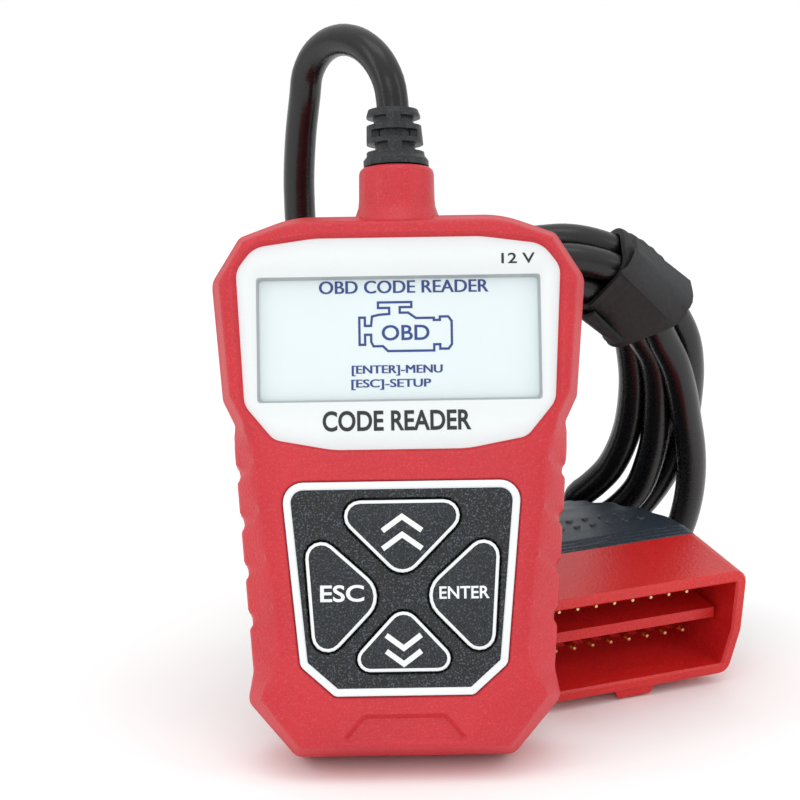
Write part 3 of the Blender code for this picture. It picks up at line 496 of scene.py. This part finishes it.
HOUSING = ((19.6, 0.0, 3.0), (28.3, 10.2, 2.6), (27.2, 16.0, 7.0), (30.3, 57.8, 2.0),
           (30.1, 60.0, 1.6), (32.3, 64.6, 2.6), (34.1, 85.9, 4.0), (28.9, 94.3, 2.4),
           (19.0, 97.9, 20.0))
FACEPLATE = ((12.0, 54.9, 20.0), (22.7, 56.9, 3.4), (27.9, 63.2, 4.0),
             (29.2, 87.4, 4.0), (26.0, 91.6, 5.0), (15.0, 93.1, 20.0))
KEYPAD = ((12.3, 11.2, 1.4), (18.4, 16.6, 2.0), (21.5, 49.2, 3.6))
KEYS = {
    "up": ((-14.4, 45.9, 2.9), (0.0, 31.4, 3.6), (14.4, 45.9, 2.9)),
    "down": ((-11.3, 15.4, 2.3), (11.3, 15.4, 2.3), (0.0, 27.5, 3.0)),
    "esc": ((-15.9, 15.2, 2.9), (-2.6, 29.0, 4.6), (-17.8, 42.7, 2.9)),
    "enter": ((15.9, 15.2, 2.9), (17.8, 42.7, 2.9), (2.6, 29.0, 4.6)),
}
outline = mirrored(HOUSING)
cuts = cuts_of(outline, 6, 0.55)
levels = [ring_of(outline, k * 0.5, 6, cuts) for k in range(14)]
base_ring = levels[0]
FACE_Y = -10.0
SEAT_Y = -9.15
POCKET_Y = -8.0


def inset_at(i, inset):
    k = min(12, max(0, int(inset / 0.5)))
    t = inset / 0.5 - k
    ax, az = levels[k][i]
    bx, bz = levels[k + 1][i]
    return (ax + (bx - ax) * t, az + (bz - az) * t)


def flank(z):
    return smooth((z - 14.5) / 3.0) * (1.0 - smooth((z - 54.6) / 3.4))


def notch(z):
    """Four slanted notches down the flank, 0 to 1."""
    deep = 0.0
    for k in range(4):
        gap = abs(z - (50.6 - 8.75 * k))
        deep = max(deep, 1.0 - smooth((gap - 0.7) / 1.1))
    return deep


REACH = ((0.0, 2.4), (12.0, 3.0), (19.0, 5.7), (54.0, 4.2), (61.0, 2.2), (100.0, 2.2))
HEAD = ((0.15, 0.14), (0.4, 0.0), (4.6, 0.30), (5.1, 0.62), (9.35, -0.50),
        (9.8, -0.16), (10.0, 0.12))
GRIP = ((0.15, 0.14), (0.4, 0.0), (4.9, 0.15), (5.6, 0.55), (8.5, -1.65),
        (9.7, -0.60), (10.0, 0.0))
NOTCHED = (0.5, 1.0, 1.0, 1.0, 0.75, 0.0, 0.0)
SLANT = (0.0, 0.0, 0.5, 1.0, 2.6, 3.0, 3.0)


def cover_rings(bm, side, head, grip, reach, notched=True):
    rings = []
    for k in range(len(head)):
        points = []
        depths = []
        for i, (x, z) in enumerate(base_ring):
            f = flank(z) if abs(x) > 24 else 0.0
            r = reach(z)
            hy, hi = head[k]
            gy, gi = grip[k]
            hi = hi + r if k >= len(head) - 3 else hi
            gi = gi + r if k >= len(grip) - 3 else gi
            inset = hi + (gi - hi) * f
            if notched:
                inset += 0.72 * f * NOTCHED[min(k, 6)] * notch(z - SLANT[min(k, 6)])
            points.append(inset_at(i, max(0.0, inset)))
            depths.append(side * (hy + (gy - hy) * f))
        rings.append(loop(bm, points, depths))
    return rings


bm = bmesh.new()
rings = cover_rings(bm, -1, HEAD, GRIP, lambda z: between(REACH, z))
for a, b in zip(rings, rings[1:]):
    bridge(bm, a, b)
plate_corners = mirrored(FACEPLATE)
pad_corners = mirrored(KEYPAD)
lip = loop(bm, ring_of(plate_corners, -0.85, 8), FACE_Y)
seat = loop(bm, ring_of(plate_corners, -0.15, 8), SEAT_Y)
pad_top = loop(bm, ring_of(pad_corners, -0.42, 8), FACE_Y)
pad_edge = loop(bm, ring_of(pad_corners, -0.18, 8), -9.8)
pad_seat = loop(bm, ring_of(pad_corners, -0.15, 8), SEAT_Y)
SCOOP = ((-12.0, 2.75, 0.8), (12.0, 2.75, 0.8), (7.4, 8.0, 1.2), (-7.4, 8.0, 1.2))
scoop_top = loop(bm, ring_of(SCOOP, 0.0, 5), FACE_Y)
scoop_low = loop(bm, ring_of(SCOOP, 0.8, 5), -9.25)
fill(bm, [rings[-1], lip, pad_top, scoop_top])
bridge(bm, lip, seat)
bridge(bm, pad_top, pad_edge)
bridge(bm, pad_edge, pad_seat)
bridge(bm, scoop_top, scoop_low)
fill(bm, [scoop_low])
window = rectangle(26.4, 62.7, 87.0, 0.8)
opening = loop(bm, ring_of(window, 0.0, 3), SEAT_Y)
opening_in = loop(bm, ring_of(window, 0.0, 3), POCKET_Y)
fill(bm, [seat, opening])
bridge(bm, opening, opening_in)
holes_out = []
holes_in = []
for name in KEYS:
    outer = loop(bm, ring_of(KEYS[name], -0.3, 6), SEAT_Y)
    inner = loop(bm, ring_of(KEYS[name], -0.3, 6), POCKET_Y)
    bridge(bm, outer, inner)
    holes_out.append(outer)
    holes_in.append(inner)
fill(bm, [pad_seat] + holes_out)
pocket = [loop(bm, [inset_at(i, d) for i in range(len(base_ring))], y)
          for y, d in ((POCKET_Y, 4.6), (-5.2, 2.5), (-0.15, 2.3))]
fill(bm, [pocket[0], opening_in] + holes_in)
bridge(bm, pocket[0], pocket[1])
bridge(bm, pocket[1], pocket[2])
bridge(bm, pocket[2], rings[0])
front = object_from("front_shell", bm, RED, sharp=38.0)
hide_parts("front_cover")

# --------------------------------------------------------------- rear cover

BACK_HEAD = ((0.15, 0.14), (0.4, 0.0), (5.6, 0.35), (8.7, -1.1), (9.7, -0.3), (10.0, 0.3))
BACK_GRIP = ((0.15, 0.14), (0.4, 0.0), (5.6, 0.45), (8.7, -1.1), (9.7, -0.3), (10.0, 0.3))
bm = bmesh.new()
rings = cover_rings(bm, 1, BACK_HEAD, BACK_GRIP, lambda z: 2.9)
for a, b in zip(rings, rings[1:]):
    bridge(bm, a, b)
label_seat = rectangle(18.2, 57.8, 80.2, 1.2)
rim = loop(bm, ring_of(label_seat, -0.1, 4), 10.0)
label_floor = loop(bm, ring_of(label_seat, 0.0, 4), 9.5)
WELL_POINTS = 28
wells = []
for x, z in ((-25.0, 90.6), (25.0, 90.6), (-22.6, 18.5), (22.6, 18.5)):
    top, low = [loop(bm, [(x + radius * cos(2 * pi * k / WELL_POINTS),
                           z + radius * sin(2 * pi * k / WELL_POINTS))
                          for k in range(WELL_POINTS)], y)
                for radius, y in ((2.4, 10.0), (2.2, 6.05))]
    bridge(bm, top, low)
    fill(bm, [low])
    wells.append(top)
fill(bm, [rings[-1], rim] + wells)
bridge(bm, rim, label_floor)
fill(bm, [label_floor])
fill(bm, [rings[0]])
rear = object_from("rear_shell", bm, RED, sharp=38.0)
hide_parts("rear_cover")


def turned_piece(name, profile, mat, segments=64):
    """Hollow turned sleeve; the profile goes round a closed section."""
    bm = bmesh.new()
    rows = []
    for radius, height in profile:
        rows.append([bm.verts.new(reader_at(radius * cos(2 * pi * k / segments),
                                            radius * sin(2 * pi * k / segments), height))
                     for k in range(segments)])
    for k in range(len(rows)):
        bridge(bm, rows[k], rows[(k + 1) % len(rows)])
    return object_from(name, bm, mat, sharp=40.0)


neck = turned_piece("neck_collar", (
    (5.0, 94.2), (9.3, 94.2), (8.9, 95.8), (8.3, 97.0), (7.6, 98.3), (7.1, 99.7),
    (6.95, 101.2),
    (6.9, 105.8), (6.72, 106.5), (6.3, 106.9), (5.9, 107.0), (5.0, 107.0)), RED)

# ---------------------------------------------------------------- faceplate

PLATE_Y = -9.26

bm = bmesh.new()
outer = [loop(bm, ring_of(plate_corners, d, 8), y)
         for y, d in ((-8.7, 0.0), (-9.05, 0.0), (-9.2, 0.06), (PLATE_Y, 0.22))]
view_cut = rectangle(25.5, 63.6, 86.1, 0.5)
inner = [loop(bm, ring_of(view_cut, d, 4), y)
         for y, d in ((PLATE_Y, -0.16), (-9.18, -0.04), (-8.7, 0.0))]
for a, b in zip(outer, outer[1:]):
    bridge(bm, a, b)
for a, b in zip(inner, inner[1:]):
    bridge(bm, a, b)
fill(bm, [outer[-1], inner[0]])
fill(bm, [outer[0], inner[-1]])
plate = object_from("face_panel", bm, WHITE, sharp=35.0)
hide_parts("faceplate")


# ---------------------------------------------------------------- lettering

RAY_Y = -14.0
STAND_OFF = 0.03


def lettering(name, text, x, z, width, height, y, mat, body="reader", bold=0.0,
              thick=0.05, surface=None):
    """Thin raised lettering centred on x, z and fitted to a width and height."""
    data = bpy.data.curves.new(name, "FONT")
    data.body = text
    data.align_x = "CENTER"
    data.align_y = "CENTER"
    data.offset = bold
    data.resolution_u = 5
    obj = bpy.data.objects.new(name, data)
    bpy.context.scene.collection.objects.link(obj)
    bpy.context.view_layer.update()
    mesh = bpy.data.meshes.new_from_object(
        obj.evaluated_get(bpy.context.evaluated_depsgraph_get()))
    bpy.data.objects.remove(obj)
    bm = bmesh.new()
    bm.from_mesh(mesh)
    bpy.data.meshes.remove(mesh)
    xs = [v.co.x for v in bm.verts]
    zs = [v.co.y for v in bm.verts]
    fx = width / (max(xs) - min(xs))
    fz = height / (max(zs) - min(zs))
    mx = (max(xs) + min(xs)) / 2
    mz = (max(zs) + min(zs)) / 2
    return raised(name, bm, lambda v: (x + (v.co.x - mx) * fx, z + (v.co.y - mz) * fz),
                  y, mat, body, thick, surface)


def raised(name, bm, place, y, mat, body, thick, surface=None):
    bmesh.ops.remove_doubles(bm, verts=bm.verts, dist=1e-6)
    made = bmesh.ops.extrude_face_region(bm, geom=bm.faces[:])
    front_verts = set(v for v in made["geom"] if isinstance(v, bmesh.types.BMVert))
    inward = READER.to_3x3() @ Vector((0, 1, 0))
    for v in bm.verts:
        px, pz = place(v)
        depth = y
        if surface is not None:
            hit = surface.ray_cast(reader_at(px, RAY_Y, pz), inward, 0.01)
            if hit[0] is not None:
                depth = RAY_Y - STAND_OFF + hit[3] / MM
        v.co = reader_at(px, depth - (thick if v in front_verts else -0.05), pz)
    return object_from(name, bm, mat, body, sharp=30.0)


def stroke_shape(paths, width):
    """Flat bmesh of joined strokes; each path is a list of (x, z)."""
    bm = bmesh.new()
    for path in paths:
        left = []
        right = []
        for i, (x, z) in enumerate(path):
            ax, az = path[max(0, i - 1)]
            bx, bz = path[min(len(path) - 1, i + 1)]
            if i in (0, len(path) - 1) and path[0] == path[-1]:
                ax, az = path[-2]
                bx, bz = path[1]
            d0 = (x - ax, z - az) if (x, z) != (ax, az) else (bx - x, bz - z)
            d1 = (bx - x, bz - z) if (x, z) != (bx, bz) else (x - ax, z - az)
            l0 = hypot(*d0)
            l1 = hypot(*d1)
            n0 = (-d0[1] / l0, d0[0] / l0)
            n1 = (-d1[1] / l1, d1[0] / l1)
            nx = n0[0] + n1[0]
            nz = n0[1] + n1[1]
            size = hypot(nx, nz)
            nx /= size
            nz /= size
            reach = width / 2 / max(0.35, nx * n0[0] + nz * n0[1])
            left.append(bm.verts.new((x + nx * reach, z + nz * reach, 0)))
            right.append(bm.verts.new((x - nx * reach, z - nz * reach, 0)))
        for i in range(len(path) - 1):
            bm.faces.new((left[i], left[i + 1], right[i + 1], right[i]))
    bmesh.ops.subdivide_edges(bm, edges=bm.edges[:], cuts=5, use_grid_fill=True)
    return bm


lettering("print_name", "CODE READER", -0.6, 60.1, 26.6, 3.7, PLATE_Y, INK, bold=0.024)
lettering("print_volts", "12 V", 21.6, 89.0, 6.0, 1.9, PLATE_Y, INK, bold=0.014)

# ------------------------------------------------------------------ display

NODES["lcd_glass"].data.materials.clear()
NODES["lcd_glass"].data.materials.append(SCREEN)
LCD = -7.77
LINES = (("lcd_title", "OBD CODE READER", 0.9, 84.3, 30.4, 2.3),
         ("lcd_line_1", "[ENTER]-MENU", -0.5, 69.2, 16.2, 1.9),
         ("lcd_line_2", "[ESC]-SETUP", -1.6, 66.7, 14.2, 1.9))
# Each line is drawn twice, a little apart, for a bold face.
for k, shift in enumerate((0.0, 0.16)):
    for name, text, x, z, width, height in LINES:
        lettering("%s_%d" % (name, k), text, x + shift, z, width, height,
                  LCD - 0.01 * k, NAVY, thick=0.03)
lettering("lcd_badge", "OBD", 1.2, 76.0, 8.6, 2.8, LCD, NAVY, bold=0.014, thick=0.03)
ENGINE = [(-7.1, 73.9), (-7.1, 78.8), (-6.1, 78.8), (-6.1, 77.3), (-5.0, 77.3),
          (-4.8, 79.0), (-3.4, 79.3), (-1.7, 79.4), (-1.7, 80.5), (-3.7, 80.5),
          (-3.7, 81.5), (2.3, 81.5), (2.3, 80.6), (0.2, 80.6), (0.2, 79.6),
          (1.7, 79.6), (3.1, 78.6), (6.3, 78.6), (6.3, 78.2), (7.4, 78.2),
          (7.4, 78.8), (8.9, 78.8), (9.5, 78.0), (9.5, 73.8), (8.9, 73.0), (7.4, 73.0),
          (7.4, 73.8), (6.3, 73.8), (6.3, 72.7), (-2.0, 72.7), (-2.9, 73.6),
          (-4.6, 73.6), (-5.0, 74.4), (-5.0, 75.7), (-6.1, 75.7), (-6.1, 73.9),
          (-7.1, 73.9)]
raised("lcd_engine", stroke_shape([ENGINE], 0.42), lambda v: (v.co.x, v.co.y),
       LCD, NAVY, "reader", 0.03)

# ------------------------------------------------------------------- keypad

bm = bmesh.new()
profile = [loop(bm, ring_of(pad_corners, d, 8), y)
           for y, d in ((-9.2, 0.0), (-10.15, 0.0), (-10.32, 0.12), (-10.38, 0.35),
                        (-10.38, 1.02), (-10.30, 1.22), (-10.10, 1.36))]
for a, b in zip(profile, profile[1:]):
    bridge(bm, a, b, 1)
key_top = []
key_low = []
for name in KEYS:
    a = loop(bm, ring_of(KEYS[name], -0.5, 6), -10.10)
    b = loop(bm, ring_of(KEYS[name], -0.3, 6), -9.95)
    d = loop(bm, ring_of(KEYS[name], -0.3, 6), -9.2)
    bridge(bm, a, b)
    bridge(bm, b, d)
    key_top.append(a)
    key_low.append(d)
fill(bm, [profile[-1]] + key_top)
fill(bm, [profile[0]] + key_low)
pad = object_from("keypad_overlay", bm, PANEL, sharp=35.0, mats=[PANEL, PAINT])
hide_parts("keypad_panel")

KEY_DEPTH = {"up": 5.2, "down": 4.2, "esc": 5.6, "enter": 5.6}
domes = {}
for name, corners in KEYS.items():
    limit = KEY_DEPTH[name]
    bm = bmesh.new()
    shape = [(-7.6, 0.0), (-10.0, 0.0), (-10.40, 0.04), (-10.56, 0.16), (-10.62, 0.36),
             (-10.62, 0.62), (-10.56, 0.74), (-10.60, 0.86)]
    shape += [(-10.60 - 0.52 * sin(pi / 2 * k / 7), 0.86 + (limit - 0.86) * k / 7)
              for k in range(1, 8)]
    rows = [loop(bm, ring_of(corners, d, 6), y) for y, d in shape]
    for k, (a, b) in enumerate(zip(rows, rows[1:])):
        bridge(bm, a, b, 1 if 1 < k < 5 else 0)
    fill(bm, [rows[0]])
    fill(bm, [rows[-1]])
    bm.normal_update()
    domes[name] = BVHTree.FromBMesh(bm)
    key = object_from("key_" + name, bm, KEY, "button_" + name, 40.0, [KEY, PAINT])
    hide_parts("button_" + name)


def chevrons(name, key, lows, flip):
    paths = []
    for z, half, rise in lows:
        paths.append([(-half, z - rise * flip), (0.0, z), (half, z - rise * flip)])
    raised(name, stroke_shape(paths, 0.95), lambda v: (v.co.x, v.co.y), -11.1, PAINT,
           "button_" + key, 0.05, domes[key])


chevrons("mark_up", "up", ((42.9, 3.5, 2.5), (39.7, 3.5, 2.5)), 1)
chevrons("mark_down", "down", ((19.6, 3.1, 2.3), (16.8, 3.1, 2.3)), -1)
lettering("mark_esc", "ESC", -10.8, 29.4, 7.8, 3.0, -11.1, PAINT, "button_esc", 0.020,
          0.05, domes["esc"])
lettering("mark_enter", "ENTER", 10.9, 29.3, 8.9, 2.2, -11.1, PAINT, "button_enter",
          0.018, 0.05, domes["enter"])

# -------------------------------------------------------------- plug details

bm = bmesh.new()
SECTION = ((20.6, 0.0, 2.6), (22.6, 9.24, 4.0), (22.6, 22.0, 2.6), (-22.6, 22.0, 2.6),
           (-22.6, 9.24, 4.0), (-20.6, 0.0, 2.6))
WIDE = ((18.2, 0.985), (18.7, 1.0), (22.0, 1.0), (26.0, 0.97), (32.0, 0.86),
        (38.0, 0.70), (43.0, 0.52), (46.2, 0.42), (47.0, 0.38))
TALL = ((18.2, 0.97), (18.7, 1.0), (22.0, 1.0), (26.0, 0.99), (32.0, 0.96),
        (38.0, 0.88), (43.0, 0.78), (46.2, 0.70), (47.0, 0.62))
section = ring_of(SECTION, 0.0, 8, cuts_of(SECTION, 8, 1.2))
rows = []
GRIP_STEP = 0.32
s = 18.2
while s < 47.01:
    wide = between(WIDE, s)
    tall = between(TALL, s)
    if 18.7 < s < 22.6:
        ridge = 0.35 * (0.5 - 0.5 * cos(2 * pi * (s - 18.7) / 1.3))
    else:
        ridge = 0.0
    row = []
    for x, z in section:
        zz = 11.0 + (z - 11.0) * tall
        size = hypot(x, z - 11.0)
        row.append(bm.verts.new(plug_at(x * wide - x / size * ridge, s,
                                        zz - (z - 11.0) / size * ridge)))
    rows.append(row)
    s += GRIP_STEP
for a, b in zip(rows, rows[1:]):
    bridge(bm, a, b)
fill(bm, [rows[0]])
fill(bm, [rows[-1]])
bm.normal_update()
shell_surface = BVHTree.FromBMesh(bm)
shell = object_from("plug_grip", bm, SHELL, sharp=45.0)
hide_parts("plug_shell")

plug_down = PLUG.to_3x3() @ Vector((0, 0, -1))
bm = bmesh.new()
DOT_PITCH = 3.6
for s, count in ((28.0, 9), (31.4, 7)):
    for k in range(count):
        x = (k - (count - 1) // 2) * DOT_PITCH
        if abs(x) > 20.5 * between(WIDE, s) - 2:
            continue
        hit = shell_surface.ray_cast(plug_at(x, s, 30.0), plug_down, 0.03)
        if hit[0] is None:
            continue
        rings = []
        for radius, rise in ((0.75, -0.2), (0.72, 0.16), (0.5, 0.34), (0.2, 0.4)):
            rings.append([bm.verts.new(hit[0] - plug_down * rise * MM
                                       + (PLUG.to_3x3() @ Vector((cos(2 * pi * j / 14),
                                                                  sin(2 * pi * j / 14), 0)))
                                       * radius * MM) for j in range(14)])
        for a, b in zip(rings, rings[1:]):
            bridge(bm, a, b)
        bm.faces.new(rings[0])
        bm.faces.new(rings[-1])
dots = object_from("plug_grip_dots", bm, SHELL, sharp=50.0)

bm = bmesh.new()
for k in range(8):
    x = (k - 3.5) * 4.0 - 2.0
    near = [bm.verts.new(plug_at(px, 3.0, pz))
            for px, pz in ((x - 0.5, 19.9), (x + 0.5, 19.9), (x, 18.6))]
    far = [bm.verts.new(plug_at(px, 15.9, pz))
           for px, pz in ((x - 0.5, 19.9), (x + 0.5, 19.9), (x, 17.6))]
    bridge(bm, near, far)
    bm.faces.new(near)
    bm.faces.new(far)
gussets = object_from("plug_gussets", bm, PLUG_RED, sharp=30.0)

# -------------------------------------------------------------------- strap

def band(name, angles, sections, mat, thick, sharp=40.0):
    """Fabric band following the coil; sections gives outline points per angle."""
    bm = bmesh.new()
    outer = []
    inner = []
    for degrees in angles:
        outer.append([bm.verts.new(coil_at(degrees, u, w))
                      for u, w in sections(degrees, thick)])
        inner.append([bm.verts.new(coil_at(degrees, u, w))
                      for u, w in sections(degrees, 0.0)])
    for a, b in zip(outer, outer[1:]):
        bridge(bm, a, b)
    for a, b in zip(inner, inner[1:]):
        bridge(bm, a, b)
    bridge(bm, outer[0], inner[0])
    bridge(bm, outer[-1], inner[-1])
    return object_from(name, bm, mat, sharp=sharp)


STRAP_FROM = 38.5
STRAP_SPAN = 26.0
BUNDLE = 6.3


def wrap(degrees, extra):
    fan = max(0.0, (56.0 - degrees) / 16.0)
    low = -BUNDLE - 2.4 * smooth(fan)
    corners = [(BUNDLE, -BUNDLE, 3.2), (BUNDLE, BUNDLE, 3.2), (low, BUNDLE, 3.2),
               (low, -BUNDLE, 3.2)]
    wave = 0.12 * sin(degrees * 1.7)
    return ring_of(corners, -extra - wave, 8, [8, 8, 8, 8])


strap = band("strap_band", [STRAP_FROM + STRAP_SPAN * k / 20 for k in range(21)], wrap, FABRIC, 1.2)
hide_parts("cable_strap")


def ribbon(name, spine, half, thick, mat):
    """Soft strip along world points; half-width and thickness in mm."""
    bm = bmesh.new()
    points, total = curve_through([p for p, side in spine], 0.0010)
    rows = []
    for i, point in enumerate(points):
        share = i / (len(points) - 1)
        place = share * (len(spine) - 1)
        k = min(len(spine) - 2, int(place))
        side = spine[k][1].lerp(spine[k + 1][1], place - k).normalized()
        along = (points[min(i + 1, len(points) - 1)] - points[max(i - 1, 0)]).normalized()
        side = (side - along * side.dot(along)).normalized()
        up = along.cross(side)
        row = []
        for j in range(9):
            row.append(bm.verts.new(point + side * (half * MM * (j / 4 - 1))
                                    + up * thick * MM / 2))
        for j in range(9):
            row.append(bm.verts.new(point + side * (half * MM * (1 - j / 4))
                                    - up * thick * MM / 2))
        rows.append(row)
    for a, b in zip(rows, rows[1:]):
        bridge(bm, a, b)
    bm.faces.new(rows[0])
    bm.faces.new(rows[-1])
    return object_from(name, bm, mat, sharp=45.0)


def along_coil(a, b):
    return (coil_at(b, 0, 0) - coil_at(a, 0, 0)).normalized()


side = along_coil(62, 44)
flap = ribbon("strap_flap", [
    (coil_at(53, 4.4, 8.15), side), (coil_at(53, 6.5, 7.9), side),
    (coil_at(53, 7.9, 6.6), side), (coil_at(52, 8.4, 4.0), side),
    (coil_at(52, 8.3, -0.5), side)], 7.8, 0.9, FUZZ)
tab = ribbon("strap_tab", [
    (coil_at(51, -8.3, 1.5), side), (coil_at(51, -8.6, 4.6), side),
    (coil_at(51, -7.9, 7.2), side), (coil_at(51, -5.6, 8.2), side)], 4.6, 0.9, FUZZ)

# ------------------------------------------------- carried-over CAD finishes

FINISHES = {
    "display_bezel": GREY, "lcd_backlight": WHITE, "lcd_ribbon": AMBER,
    "main_board": BOARD, "processor_chip": CHIP, "transceiver_chip": CHIP,
    "crystal": STEEL, "regulator": CHIP, "capacitor": SLEEVE, "buzzer": CHIP,
    "cable_header": WHITE, "cable_inner": JACKET, "rear_label": LABEL,
    "strain_relief": RELIEF, "plug_shroud": PLUG_RED, "plug_boot": SHELL,
}
for name, node in NODES.items():
    mat = FINISHES.get(name)
    if name.startswith("pin_"):
        mat = GOLD
    if "screw" in name or name.startswith("switch_"):
        mat = STEEL
    if mat is not None:
        node.data.materials.clear()
        node.data.materials.append(mat)

# ------------------------------------------------------------ floor and light

bm = bmesh.new()
bmesh.ops.create_grid(bm, x_segments=2, y_segments=2, size=3.0)
mesh = bpy.data.meshes.new("floor")
bm.to_mesh(mesh)
bm.free()
mesh.materials.append(finish_of("floor_paper", (254, 254, 254), 0.9, 60, 0.0, 0.004))
floor_obj = bpy.data.objects.new("floor", mesh)
bpy.context.scene.collection.objects.link(floor_obj)

sky = bpy.data.worlds.new("studio")
bpy.context.scene.world = sky
sky.use_nodes = True
sky.node_tree.nodes["Background"].inputs["Color"].default_value = (1, 1, 1, 1)
nt = sky.node_tree
coord = nt.nodes.new("ShaderNodeTexCoord")
parts = nt.nodes.new("ShaderNodeSeparateXYZ")
rise = nt.nodes.new("ShaderNodeMapRange")
rise.inputs["To Min"].default_value = 0.74
rise.inputs["To Max"].default_value = 1.14
nt.links.new(coord.outputs["Generated"], parts.inputs["Vector"])
nt.links.new(parts.outputs["Z"], rise.inputs["Value"])
nt.links.new(rise.outputs["Result"], nt.nodes["Background"].inputs["Strength"])


def softbox(name, place, aim, size, power):
    data = bpy.data.lights.new(name, "AREA")
    data.shape = "RECTANGLE"
    data.size = size[0]
    data.size_y = size[1]
    data.energy = power
    lamp = bpy.data.objects.new(name, data)
    lamp.location = place
    lamp.rotation_mode = "QUATERNION"
    lamp.rotation_quaternion = (Vector(aim) - Vector(place)).to_track_quat("-Z", "Y")
    bpy.context.scene.collection.objects.link(lamp)


softbox("light_top", (0.0, -0.10, 0.75), (0, 0, 0.05), (0.5, 0.3), 0.55)
softbox("light_left", (-0.65, -0.30, 0.35), (0, 0, 0.06), (0.12, 0.6), 0.5)
softbox("light_right", (0.65, -0.25, 0.30), (0, 0, 0.06), (0.12, 0.6), 0.4)
softbox("light_front", (-0.10, -1.00, 0.50), (0, 0, 0.06), (0.5, 0.3), 0.65)
bpy.context.scene.view_settings.view_transform = "Standard"
